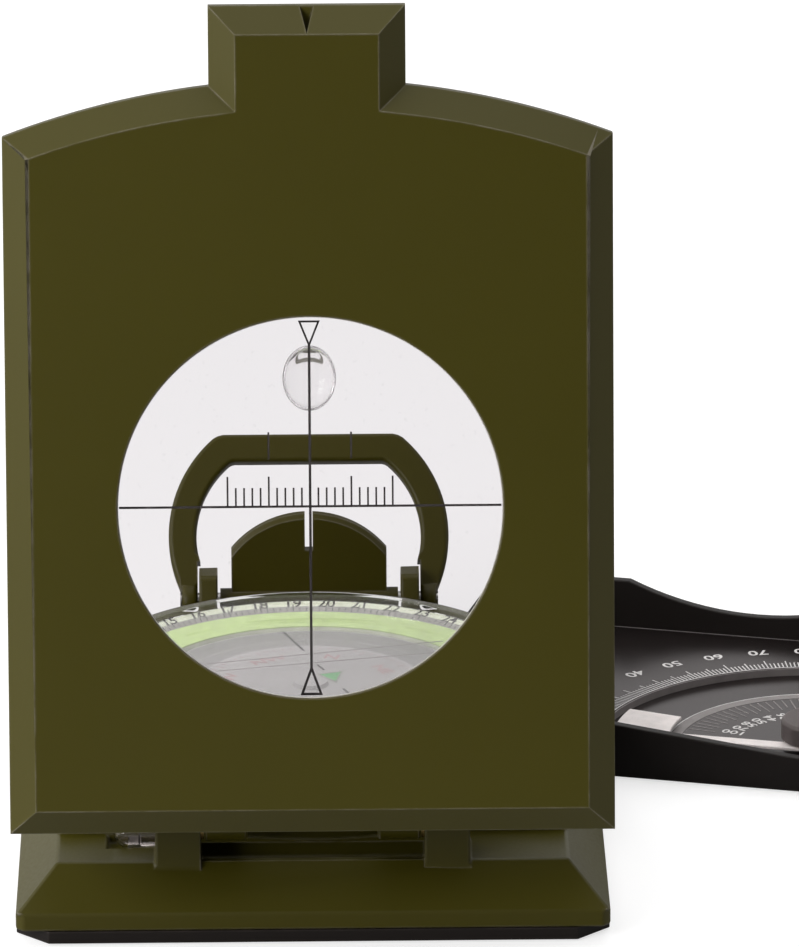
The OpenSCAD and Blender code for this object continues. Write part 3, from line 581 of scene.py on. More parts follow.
def add_bar(bm, start, end, width, low, high):
    """Adds a straight flat bar between two points of the X-Y plane."""
    start = Vector(start)
    end = Vector(end)
    run = end - start
    middle = (start + end) / 2
    turn = Matrix.Rotation(math.atan2(run.y, run.x), 4, "Z")
    size = Matrix.Diagonal((run.length, width, high - low, 1))
    shift = Matrix.Translation((middle.x, middle.y, (low + high) / 2))
    bmesh.ops.create_cube(bm, size=1.0, matrix=shift @ turn @ size)


def add_outline(bm, points, width, low, high):
    """Adds a closed outline of straight bars with mitred corners."""
    least_share = 0.2
    count = len(points)
    loops = []
    for side in (-0.5, 0.5):
        ring = []
        for index in range(count):
            before = Vector(points[index - 1])
            here = Vector(points[index])
            after = Vector(points[(index + 1) % count])
            first = (here - before).normalized()
            second = (after - here).normalized()
            across = Vector((-first.y - second.y, first.x + second.x)).normalized()
            reach = side * width / max(least_share, across.dot(Vector((-first.y, first.x))))
            ring.append(here + across * reach)
        loops.append(ring)
    rings = [[bm.verts.new((p.x, p.y, low)) for p in ring] for ring in loops]
    edges = [bm.edges.new((ring[i], ring[(i + 1) % count])) for ring in rings for i in range(count)]
    band = bmesh.ops.bridge_loops(bm, edges=edges)
    thicken(bm, band["faces"], (0, 0, high - low))


def add_ring(bm, profile, steps, close=True):
    """Spins a closed profile of (radius, height) points into a full ring."""
    verts = [bm.verts.new((radius, 0, height)) for radius, height in profile]
    count = len(verts) if close else len(verts) - 1
    edges = [bm.edges.new((verts[i], verts[(i + 1) % len(verts)])) for i in range(count)]
    bmesh.ops.spin(bm, geom=verts + edges, axis=(0, 0, 1), cent=(0, 0, 0), steps=steps,
                   angle=math.tau, use_merge=True, use_duplicate=False)


def box_profile(inner, outer, low, high):
    """A rectangle of (radius, height) points."""
    return [(inner, low), (outer, low), (outer, high), (inner, high)]


def arc_profile(centre, radius, start, end, count):
    """Points of an arc between two angles in degrees."""
    points = []
    for index in range(count + 1):
        angle = math.radians(start + (end - start) * index / count)
        points.append((centre[0] + radius * math.cos(angle), centre[1] + radius * math.sin(angle)))
    return points


TEXT_MESHES = {}


def text_mesh(words, size):
    """A flat mesh of a short word, centred on the origin, one unit thick."""
    key = (words, size)
    if key not in TEXT_MESHES:
        curve = bpy.data.curves.new("label", "FONT")
        curve.body = words
        curve.size = size
        curve.align_x = "CENTER"
        curve.align_y = "CENTER"
        curve.resolution_u = 3
        curve.offset = 0.012 * size
        curve.extrude = 0.5
        label = bpy.data.objects.new("label", curve)
        bpy.context.scene.collection.objects.link(label)
        graph = bpy.context.evaluated_depsgraph_get()
        mesh = bpy.data.meshes.new_from_object(label.evaluated_get(graph))
        bpy.data.objects.remove(label)
        bpy.data.curves.remove(curve)
        TEXT_MESHES[key] = mesh
    return TEXT_MESHES[key]


def add_text(bm, words, size, thickness, place, stretch=1.0):
    """Adds a word to a bmesh, standing on the place's X-Y plane."""
    loose = bmesh.new()
    loose.from_mesh(text_mesh(words, size))
    bmesh.ops.remove_doubles(loose, verts=loose.verts, dist=1e-4)
    shape = Matrix.Diagonal((stretch, 1, thickness, 1))
    bmesh.ops.transform(loose, matrix=place @ shape, verts=loose.verts)
    join(bm, loose)


def roundable(edge, width, limit):
    """Whether an edge can be rounded by a width without running into its neighbours."""
    straight_on = -0.9
    sharp_room = 2.4
    flat_room = 1.3
    for vert in edge.verts:
        run = (edge.other_vert(vert).co - vert.co).normalized()
        for near in vert.link_edges:
            if near == edge:
                continue
            sharp = near.is_manifold and near.calc_face_angle(0) > limit
            way = (near.other_vert(vert).co - vert.co).normalized()
            if sharp and run.dot(way) < straight_on:
                continue
            if near.calc_length() < width * (sharp_room if sharp else flat_room):
                return False
    return edge.calc_length() > 0.2 * width


def refined(node, name, width, segments=3, angle=24.0, smooth_angle=32.0):
    """A merged copy of a CAD node's mesh, rounded where its edges leave room for it."""
    bm = bmesh.new()
    bm.from_mesh(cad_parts[node].data)
    bmesh.ops.remove_doubles(bm, verts=bm.verts, dist=2e-6)
    bmesh.ops.dissolve_limit(bm, angle_limit=math.radians(0.6), verts=bm.verts, edges=bm.edges)
    limit = math.radians(angle)
    edges = [edge for edge in bm.edges
             if edge.is_manifold and edge.calc_face_angle(0) > limit
             and roundable(edge, width * MM, limit)]
    bmesh.ops.bevel(bm, geom=edges, offset=width * MM, offset_type="OFFSET", segments=segments,
                    profile=0.5, affect="EDGES", clamp_overlap=False, material=-1)
    bmesh.ops.remove_doubles(bm, verts=bm.verts, dist=1e-6)
    return finish_mesh(bm, name, smooth_angle=smooth_angle)


def refined_piece(node, name, width, material, body, slot_name, **shape):
    """Replaces a CAD node by its rounded copy."""
    piece = show_object(name, refined(node, name, width, **shape), material, body)
    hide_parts(node)
    return piece


def dress(node, material):
    """Gives a CAD node that is shown as it is one of the finishes."""
    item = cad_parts[node]
    item.data.materials.clear()
    item.data.materials.append(MATERIALS[material])


# Operators

class BuildFinishes(bpy.types.Operator):
    """Make the paints, metals, inks and glass of the compass."""

    bl_idname = "compass.build_finishes"
    bl_label = "Finishes"

    def execute(self, context):
        build_materials()
        return {"FINISHED"}


class BuildCase(bpy.types.Operator):
    """Build the case's casting and its bottom plate with their screws."""

    bl_idname = "compass.build_case"
    bl_label = "Case"

    screw_radius = 1.7
    slot_half = 0.9
    slot_width = 0.4
    slot_heights = (0.06, 0.12)

    def execute(self, context):
        width = sizes().case_round
        refined_piece("base_body", "case_casting", width, "olive", "base", "olive_paint")
        refined_piece("bottom_plate", "bottom_cover", sizes().sheet_round, "black", "base",
                      "black_paint")
        dress("bottom_plate_screws", "steel")
        self.screw_slots()
        return {"FINISHED"}

    def screw_slots(self):
        """Lays two thin dark bars across each screw head: painted shade for the shade in its slots."""
        low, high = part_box("bottom_plate_screws")
        head = self.screw_radius
        arm = self.slot_half
        bm = bmesh.new()
        for x in (low[0] / MM + head, high[0] / MM - head):
            for y in (low[1] / MM + head, high[1] / MM - head):
                for reach in (Vector((arm, 0)), Vector((0, arm))):
                    middle = Vector((x, y))
                    add_bar(bm, middle - reach, middle + reach, self.slot_width, *self.slot_heights)
        show_mesh(bm, "screw_slot_shade", world_place(), "dark_print", "base", "steel")


class BuildLid(bpy.types.Operator):
    """Build the lid's casting and its window."""

    bl_idname = "compass.build_lid"
    bl_label = "Lid"

    half_width = CASE_W / 2
    end_radius = 90.0
    chamfer = 2.8
    tab_half = 10.3
    tab_length = 7.8
    curve_steps = 14
    notch = (1.5, 2.7, 2.7)
    wall = 2.2
    wall_overlap = 0.1
    rim_z = 10.5
    end_wall_z = 15.1
    slant_end = 6.2
    slant_run = 7
    soft_round = 0.9
    window_radius = 20.4
    lip = (27.0, 20.2, 0.45)
    lip_round = 0.2
    glass_room = 1.0
    glass_depth = 1.6
    boss_inner = 2.35
    boss_outer = 3.3
    boss_drop = 1.2
    knuckle_start = 7.0
    knuckle_length = 4.6
    knuckle_radius = 2.4
    knuckle_bore = 1.15
    knuckle_round = 0.2
    web_rise = 4
    edge_size = (0.08, 0.1)
    lens_y = 13.6
    lens_half_height = 3.45
    lens_dome = 1.25
    lens_back = 0.02
    lens_sink = 0.05

    def execute(self, context):
        width = sizes().case_round
        plate = carved(self.plate(width), self.notch_cutter())
        bm = bmesh.new()
        bm.from_mesh(plate)
        bpy.data.meshes.remove(plate)
        self.side_walls(bm, width)
        self.end_wall(bm, width)
        self.knuckles(bm, width)
        piece = show_mesh(bm, "lid_casting", lid_place(), "olive", "lid", "olive_paint",
                          smooth_angle=35)
        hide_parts("lid_shell")
        dress("lid_window", "glass")
        dress("window_retainer", "black")
        self.window_edge()
        self.reading_lens()
        return {"FINISHED"}

    def outline(self):
        """The lid's outline, from its right corner at the hinge round to the left one."""
        centre = LID_Y + LID_LENGTH - self.end_radius
        corner = math.degrees(math.acos(self.half_width / self.end_radius))
        root = math.degrees(math.acos(self.tab_half / self.end_radius))
        curve = arc_profile((0, centre), self.end_radius, corner, root,
                            self.curve_steps)
        half = [(self.half_width, LID_Y), *curve,
                (self.tab_half, LID_Y + LID_LENGTH + self.tab_length)]
        return half + [(-x, y) for x, y in reversed(half)]

    def plate(self, width):
        """The lid's plate with its chamfers, its upright edge and the window's opening."""
        bm = bmesh.new()
        shoulder = CASE_TOP - self.chamfer
        face = bm.faces.new([bm.verts.new((x, y, shoulder)) for x, y in self.outline()])
        face.normal_update()
        bmesh.ops.inset_region(bm, faces=[face], thickness=self.chamfer, use_even_offset=True,
                               use_boundary=True)
        bmesh.ops.translate(bm, vec=(0, 0, self.chamfer), verts=face.verts)
        rim = [edge for edge in bm.edges if edge.is_boundary]
        made = bmesh.ops.extrude_edge_only(bm, edges=rim)
        bmesh.ops.translate(bm, vec=(0, 0, LID_UNDER - shoulder), verts=new_verts(made))
        bmesh.ops.recalc_face_normals(bm, faces=bm.faces)
        face_rim = [edge for edge in sharp_edges(bm)
                    if all(vert.co.z > CASE_TOP - 0.01 for vert in edge.verts)]
        round_edges(bm, face_rim, self.soft_round, 5)
        round_edges(bm, sharp_edges(bm), width, 4)
        top = max(bm.faces, key=lambda item: item.calc_area() if item.normal.z > 0.9 else 0.0)
        bmesh.ops.delete(bm, geom=[top], context="FACES_ONLY")
        edges = [edge for edge in bm.edges if edge.is_boundary]
        above = [edge for edge in edges if edge.verts[0].co.z > CASE_TOP - 0.01]
        below = [edge for edge in edges if edge.verts[0].co.z < LID_UNDER + 0.01]
        self.window_opening(bm, above, below)
        bmesh.ops.recalc_face_normals(bm, faces=bm.faces)
        return plain_mesh(bm, "lid_plate")

    def window_opening(self, bm, above, below):
        """A stepped opening from the lid's face down to the boss on its underside."""
        corner = self.lip_round
        bend = corner * 0.29
        lip_y, lip_radius, lip_depth = self.lip
        pocket = self.window_radius + self.glass_room
        inner = self.window_radius + self.boss_inner
        outer = self.window_radius + self.boss_outer
        boss_z = LID_UNDER - self.boss_drop
        steps = [(lip_radius + bend, CASE_TOP - bend, lip_y),
                 (lip_radius, CASE_TOP - corner, lip_y),
                 (lip_radius, CASE_TOP - lip_depth, lip_y),
                 (pocket, CASE_TOP - lip_depth, WINDOW_Y),
                 (pocket, GLASS_UNDER + self.glass_depth, WINDOW_Y),
                 (pocket, GLASS_UNDER, WINDOW_Y),
                 (inner, GLASS_UNDER, WINDOW_Y), (inner, boss_z, WINDOW_Y),
                 (outer, boss_z, WINDOW_Y), (outer, LID_UNDER, WINDOW_Y)]
        before = (lip_radius + corner, CASE_TOP, lip_y)
        middle = Matrix.Translation((0, lip_y, CASE_TOP))
        made = bmesh.ops.create_circle(bm, segments=ROUND_STEPS, radius=before[0], matrix=middle)
        edges = list(dict.fromkeys(edge for vert in made["verts"] for edge in vert.link_edges))
        bmesh.ops.triangle_fill(bm, use_beauty=True, edges=above + edges, normal=(0, 0, 1))
        for step in steps:
            made = bmesh.ops.extrude_edge_only(bm, edges=edges)
            edges = [item for item in made["geom"] if isinstance(item, bmesh.types.BMEdge)]
            verts = new_verts(made)
            shift = Vector(step) - Vector(before)
            bmesh.ops.translate(bm, vec=(0, shift.z, shift.y), verts=verts)
            share = step[0] / before[0]
            bmesh.ops.scale(bm, vec=(share, share, 1), verts=verts,
                            space=Matrix.Translation((0, -step[2], 0)))
            before = step
        bmesh.ops.triangle_fill(bm, use_beauty=True, edges=below + edges, normal=(0, 0, -1))

    def notch_cutter(self):
        """The wedge that cuts the sighting notch into the tab's end."""
        width, length, depth = self.notch
        end = LID_Y + LID_LENGTH + self.tab_length
        bm = bmesh.new()
        low = CASE_TOP - depth
        corners = [(-width / 2, end), (0, end - length), (width / 2, end), (width / 2, end + 1),
                   (-width / 2, end + 1)]
        face = bm.faces.new([bm.verts.new((x, y, low)) for x, y in corners])
        thicken(bm, [face], (0, 0, depth + 1))
        bmesh.ops.recalc_face_normals(bm, faces=bm.faces)
        return plain_mesh(bm, "notch")

    def side_walls(self, bm, width):
        """The two side walls, which slant toward the free end."""
        rear = LID_Y + LID_LENGTH - self.slant_end
        profile = [(LID_Y, self.rim_z), (rear - self.slant_run, self.rim_z), (rear, LID_UNDER),
                   (LID_Y, LID_UNDER)]
        for start in (-self.half_width, self.half_width - self.wall):
            add_prism(bm, profile, start, self.wall, width, LID_UNDER)

    def end_wall(self, bm, width):
        """The low wall over the hinge."""
        profile = box_profile(LID_Y, LID_Y + self.wall, self.end_wall_z, LID_UNDER)
        inner = self.half_width - self.wall + self.wall_overlap
        add_prism(bm, profile, -inner, 2 * inner, width, LID_UNDER)

    def knuckles(self, bm, width):
        """The two bored knuckles with the webs that carry them."""
        hinge_y, hinge_z = LID_HINGE
        radius = self.knuckle_radius
        bore = self.knuckle_bore
        length = self.knuckle_length
        corner = self.knuckle_round
        profile = [(bore, 0), (radius - corner, 0), (radius, corner),
                   (radius, length - corner), (radius - corner, length), (bore, length)]
        web = [(hinge_y - radius, hinge_z), (hinge_y - bore, hinge_z),
               (hinge_y - bore, hinge_z + bore), (hinge_y + bore, hinge_z + bore),
               (hinge_y + bore, hinge_z), (hinge_y + radius, hinge_z),
               (LID_Y + self.wall + 1, hinge_z + radius + self.web_rise),
               (LID_Y, hinge_z + radius + self.web_rise)]
        for start in (self.knuckle_start, -self.knuckle_start - length):
            ring = bmesh.new()
            add_ring(ring, profile, 48)
            bmesh.ops.remove_doubles(ring, verts=ring.verts, dist=1e-5)
            bmesh.ops.recalc_face_normals(ring, faces=ring.faces)
            place = Matrix.Translation((start, hinge_y, hinge_z)) @ Matrix.Rotation(
                math.radians(90), 4, "Y")
            bmesh.ops.transform(ring, matrix=place, verts=ring.verts)
            join(bm, ring)
            add_prism(bm, web, start, length, min(width, corner))

    def window_edge(self):
        """A pale ring round the window: a painted highlight that stands for its bright polished edge.
        """
        lip_y, radius, depth = self.lip
        width, height = self.edge_size
        low = CASE_TOP - depth + 0.02
        bm = bmesh.new()
        add_ring(bm, box_profile(radius - width, radius, low, low + height), ROUND_STEPS)
        place = lid_place() @ Matrix.Translation((0, lip_y, 0))
        show_mesh(bm, "window_edge", place, "edge_highlight", "lid", "glass", recalculate=True)

    def reading_lens(self):
        """An oval lens with a domed face and a flat back."""
        low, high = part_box("reading_lens")
        half_width = (high[0] - low[0]) / 2 / MM
        bm = bmesh.new()
        bmesh.ops.create_uvsphere(bm, u_segments=48, v_segments=24, radius=1.0)
        flat = [vert for vert in bm.verts if vert.co.z > 0.001]
        bmesh.ops.scale(bm, vec=(1, 1, self.lens_back), verts=flat)
        size = Matrix.Diagonal((half_width, self.lens_half_height, self.lens_dome, 1))
        shift = Matrix.Translation((0, WINDOW_Y + self.lens_y, GLASS_UNDER - self.lens_sink))
        piece = show_mesh(bm, "lens_button", lid_place() @ shift @ size, "lens", "lid", "glass",
                          smooth_angle=50)
        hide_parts("reading_lens")


class BuildReticle(bpy.types.Operator):
    """Print the hairlines, the triangles and the scale on the window."""

    bl_idname = "compass.build_reticle"
    bl_label = "Reticle"

    ink = (-0.05, -0.02)
    line_half = 20.1
    line_foot = -17.25
    line_head = 17.1
    mark_half = 1.0
    lower_mark = -20.0
    upper_mark = 19.6
    tick_step = 0.868
    tick_count = 10
    short_tick = 2.0
    long_tick = 3.2
    far_tick = (5.0, 7.9)

    def execute(self, context):
        width = sizes().hairline
        low, high = (GLASS_UNDER + drop for drop in self.ink)
        half = self.mark_half
        foot = (0, self.line_foot)
        head = (0, self.line_head)
        bm = bmesh.new()
        add_bar(bm, (-self.line_half, 0), (self.line_half, 0), width, low, high)
        add_bar(bm, foot, head, width * 1.15, low, high)
        add_outline(bm, [(-half, self.upper_mark), (half, self.upper_mark), head], width * 0.85,
                    low, high)
        add_outline(bm, [(-half, self.lower_mark), foot, (half, self.lower_mark)], width * 1.1,
                    low, high)
        for index in range(-self.tick_count, self.tick_count + 1):
            if index == 0:
                continue
            x = index * self.tick_step
            height = self.long_tick if index % 5 == 0 else self.short_tick
            add_bar(bm, (x, 0), (x, height), width * 0.8, low, high)
        for index in (-5, 5):
            x = index * self.tick_step
            low_end, high_end = self.far_tick
            add_bar(bm, (x, low_end), (x, high_end), width * 0.8, low, high)
        place = lid_place() @ Matrix.Translation((0, WINDOW_Y, 0))
        show_mesh(bm, "window_reticle", place, "dark_print", "lid", "black_paint")
        return {"FINISHED"}


class BuildHinges(bpy.types.Operator):
    """Give the pins, the washers and the rivet their metals."""

    bl_idname = "compass.build_hinges"
    bl_label = "Hinges"

    def execute(self, context):
        dress("lid_hinge_pins", "steel")
        dress("lid_hinge_washers", "brass")
        dress("rear_hinge_pin", "steel")
        dress("tray_washer", "steel")
        dress("tray_rivet", "steel")
        return {"FINISHED"}


class BuildSight(bpy.types.Operator):
    """Build the rear sight and the thumb ring."""

    bl_idname = "compass.build_sight"
    bl_label = "Sight and ring"

    loop_round = 0.55

    def execute(self, context):
        dress("sight_plate", "olive")
        refined_piece("thumb_ring", "thumb_loop", self.loop_round, "olive", "ring",
                      "olive_paint", angle=35.0)
        return {"FINISHED"}


class BuildVial(bpy.types.Operator):
    """Build the level vial with its liquid and its bubble."""

    bl_idname = "compass.build_vial"
    bl_label = "Level vial"

    wall = 0.3
    spirit_gap = 0.36
    spirit_end = 0.9
    plug_ends = (0.8, 0.05)
    bubble_half = (0.42, 0.6, 1.25)
    bubble_sink = 0.5
    mark_reach = 1.5
    mark_half = 0.06
    mark_skin = (0.02, 0.012)

    def execute(self, context):
        low, high = (corner / MM for corner in map(Vector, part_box("level_vial")))
        length = high.x - low.x
        radius = (high.z - low.z) / 2
        place = world_place() @ Matrix.Translation(
            (low.x, (low.y + high.y) / 2, (low.z + high.z) / 2)) @ Matrix.Rotation(
                math.radians(90), 4, "Y")
        self.tube(place, radius, length)
        self.liquid(place, radius, length)
        self.bubble(place, radius, length)
        self.marks(place, radius, length)
        dress("vial_cradle", "steel")
        return {"FINISHED"}

    def tube(self, place, radius, length):
        """The glass tube with a domed end."""
        bore = radius - self.wall
        outer = [(0.0, 0.0)] + arc_profile((0, radius), radius, -80, 0, 10)
        outer += [(radius, length - self.wall), (bore, length)]
        inner = [(bore, length), (bore, radius)]
        inner += arc_profile((0, radius), bore, 0, -80, 10) + [(0.0, radius - bore)]
        bm = bmesh.new()
        add_ring(bm, outer + inner, VIAL_STEPS, close=False)
        piece = show_mesh(bm, "vial_tube", place, "vial_glass", "base", "vial_glass",
                          smooth_angle=40, recalculate=True)
        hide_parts("level_vial")

    def liquid(self, place, radius, length):
        """Spirit inside the tube, under a plug at its open end."""
        fill = radius - self.spirit_gap
        profile = [(0.0, radius - fill)] + arc_profile((0, radius), fill, -80, 0, 8)
        profile += [(fill, length - self.spirit_end), (0.0, length - self.spirit_end)]
        bm = bmesh.new()
        add_ring(bm, profile, SPIRIT_STEPS, close=False)
        show_mesh(bm, "vial_spirit", place, "vial_liquid", "base", "vial_glass",
                  smooth_angle=40, recalculate=True)
        low, high = (length - end for end in self.plug_ends)
        plug = bmesh.new()
        add_ring(plug, box_profile(0.0, fill, low, high), SPIRIT_STEPS, close=False)
        show_mesh(plug, "vial_plug", place, "white_print", "base", "white_paint",
                  smooth_angle=40, recalculate=True)

    def bubble(self, place, radius, length):
        """A long bubble at the top of the liquid."""
        bm = bmesh.new()
        bmesh.ops.create_uvsphere(bm, u_segments=24, v_segments=14, radius=1.0)
        size = Matrix.Diagonal((*self.bubble_half, 1))
        top = -(radius - self.spirit_gap) + self.bubble_sink
        shift = Matrix.Translation((top, 0, length * 0.5))
        show_mesh(bm, "vial_bubble", place @ shift @ size, "glass", "base", "vial_glass",
                  smooth_angle=60)

    def marks(self, place, radius, length):
        """Two dark rings round the tube, on both sides of the bubble."""
        sunk, raised = self.mark_skin
        bm = bmesh.new()
        for side in (-1, 1):
            z = length * 0.5 + side * self.mark_reach
            add_ring(bm, box_profile(radius - sunk, radius + raised, z - self.mark_half,
                                     z + self.mark_half), VIAL_STEPS)
        show_mesh(bm, "vial_marks", place, "dark_print", "base", "black_paint",
                  smooth_angle=40, recalculate=True)


class BuildDial(bpy.types.Operator):
    """Build the bezel, the rings, the cover and the numbers of the dial."""

    bl_idname = "compass.build_dial"
    bl_label = "Dial"

    bezel_round = 0.1
    cover_round = 0.12
    label_count = 40
    first_label = 19.5
    label_share = 0.74
    slope_in = 23.1
    slope_out = 24.6
    slope_rise = 0.9
    band_share = 0.5
    band_lifts = (0.004, 0.016)
    inner_line = (18.32, 18.9)
    line_drops = (0.15, 0.12)
    tick_count = 200
    first_tick = 4.5
    tick_start = 0.06
    tick_ends = (0.42, 0.72)
    tick_widths = (0.08, 0.11)
    tick_thickness = 0.02

    def execute(self, context):
        refined_piece("bezel_ring", "bezel_band", self.bezel_round, "bezel", "bezel",
                      "bezel_black")
        refined_piece("dial_cover", "dial_lens", self.cover_round, "cover", "bezel",
                      "clear_plastic")
        dress("azimuth_ring", "number_band")
        dress("luminous_ring", "luminous")
        dress("capsule_bowl", "bowl")
        dress("bezel_retaining_ring", "steel")
        self.tick_band()
        self.numbers()
        return {"FINISHED"}

    def slope_point(self, share, lift=0.0):
        """Radius and height of a point of the sloping band."""
        radius = self.slope_in + (self.slope_out - self.slope_in) * share
        return radius, NUMBER_Z + self.slope_rise * share + lift

    def tick_band(self):
        """The grey inner part of the sloping band and the pale line inside it."""
        low, high = self.band_lifts
        band = bmesh.new()
        add_ring(band, [self.slope_point(0.0, low), self.slope_point(self.band_share, low),
                        self.slope_point(self.band_share, high), self.slope_point(0.0, high)],
                 ROUND_STEPS)
        show_mesh(band, "tick_band", dial_place(), "tick_band", "bezel", "dial_white",
                  recalculate=True)
        line = bmesh.new()
        low, high = (NUMBER_Z - drop for drop in self.line_drops)
        add_ring(line, box_profile(*self.inner_line, low, high), ROUND_STEPS)
        show_mesh(line, "dial_inner_line", dial_place(), "white_print", "bezel", "dial_white",
                  recalculate=True)
        self.ticks()

    def ticks(self):
        """Two hundred ticks, each fifth one longer."""
        thickness = self.tick_thickness
        ticks = bmesh.new()
        for index in range(self.tick_count):
            long_tick = index % 5 == 0
            inner, low = self.slope_point(self.tick_start)
            outer, high = self.slope_point(self.tick_ends[long_tick])
            tilt = math.atan2(high - low, outer - inner)
            length = math.hypot(outer - inner, high - low)
            angle = index * 360 / self.tick_count + self.first_tick
            turn = Matrix.Rotation(math.radians(angle), 4, "Z")
            middle = Matrix.Translation(((inner + outer) / 2, 0, (low + high) / 2 + thickness))
            slope = Matrix.Rotation(-tilt, 4, "Y")
            size = Matrix.Diagonal((length, self.tick_widths[long_tick], thickness, 1))
            bmesh.ops.create_cube(ticks, size=1.0, matrix=turn @ middle @ slope @ size)
        show_mesh(ticks, "dial_ticks", dial_place(), "dark_print", "bezel", "black_paint")

    def numbers(self):
        """Forty numbers of ten grads each round the sloping band."""
        radius, height = self.slope_point(self.label_share, 0.025)
        tilt = math.atan2(self.slope_rise, self.slope_out - self.slope_in)
        bm = bmesh.new()
        for index in range(self.label_count):
            angle = 90 - (index - self.first_label) * 360 / self.label_count
            turn = Matrix.Rotation(math.radians(angle - 90), 4, "Z")
            place = turn @ Matrix.Translation((0, radius, height)) @ Matrix.Rotation(tilt, 4, "X")
            add_text(bm, str(index), sizes().number_height, 0.03, place, 1.2)
        show_mesh(bm, "dial_numbers", dial_place(), "dark_print", "bezel", "black_paint")


class BuildCard(bpy.types.Operator):
    """Print the compass card and finish its needle, magnet and cup."""

    bl_idname = "compass.build_card"
    bl_label = "Card"

    dashes = (((-3.0, 17.5), (-0.73, 11.1)), ((0.78, 6.3), (1.5, 4.6)),
              ((3.6, -1.6), (4.3, -3.6)), ((5.6, -7.4), (8.2, -15.0)))
    dash_width = 0.28
    cover_lines = (((-11.5, 5.6), (14.84, 12.55)), ((-10.5, 3.15), (14.4, 8.95)))
    cover_line_width = 0.2
    cover_line_lift = 0.08
    tick_outer = 12.1
    short_tick = 11.6
    long_tick = 11.0
    tick_width = 0.08
    letter_radius = 9.2
    letter_size = 2.0
    north_angle = -15
    triangle = ((0.77, 3.2), (2.84, 0.6), (3.55, 4.1))
    triangle_edge = 0.28

    def execute(self, context):
        dress("compass_card", "card")
        dress("card_magnet", "magnet")
        dress("jewel_cup", "card")
        dress("pivot_post", "brass")
        self.lines()
        self.degree_ring()
        self.arrow()
        return {"FINISHED"}

    def lines(self):
        """The dashed line through the card and the two long lines under the dial's cover."""
        low = CARD_Z + INK_LOW
        high = CARD_Z + INK_HIGH
        bm = bmesh.new()
        for start, end in self.dashes:
            add_bar(bm, start, end, self.dash_width, low, high)
        show_mesh(bm, "card_lines", dial_place(), "dark_print", "card", "black_paint")
        low = NUMBER_Z + self.cover_line_lift
        bm = bmesh.new()
        for start, end in self.cover_lines:
            add_bar(bm, start, end, self.cover_line_width, low, low + INK_HIGH)
        show_mesh(bm, "cover_lines", dial_place(), "grey_print", "bezel", "black_paint")

    def degree_ring(self):
        """Faint ticks and the letters of the eight winds."""
        bm = bmesh.new()
        for index in range(72):
            angle = math.radians(index * 5)
            way = Vector((math.cos(angle), math.sin(angle)))
            inner = self.long_tick if index % 6 == 0 else self.short_tick
            add_bar(bm, way * inner, way * self.tick_outer, self.tick_width, CARD_Z + INK_LOW,
                    CARD_Z + THIN_INK_HIGH)
        for index, words in enumerate(("N", "NE", "E", "SE", "S", "SW", "W", "NW")):
            turn = Matrix.Rotation(math.radians(self.north_angle - 45 * index), 4, "Z")
            place = turn @ Matrix.Translation((0, self.letter_radius, CARD_Z + 0.015))
            add_text(bm, words, self.letter_size, 0.02, place, 1.2)
        show_mesh(bm, "card_print", dial_place(), "faint_print", "card", "card_grey")

    def arrow(self):
        """The small green triangle with its dark edge."""
        edge = bmesh.new()
        add_outline(edge, self.triangle, self.triangle_edge, CARD_Z + INK_LOW, CARD_Z + 0.035)
        show_mesh(edge, "card_arrow_edge", dial_place(), "tick_band", "card", "black_paint",
                  recalculate=True)
        bm = bmesh.new()
        corners = [bm.verts.new((x, y, CARD_Z + 0.004)) for x, y in self.triangle]
        thicken(bm, [bm.faces.new(corners)], (0, 0, 0.02))
        show_mesh(bm, "card_arrow", dial_place(), "green_print", "card", "luminous_green",
                  recalculate=True)


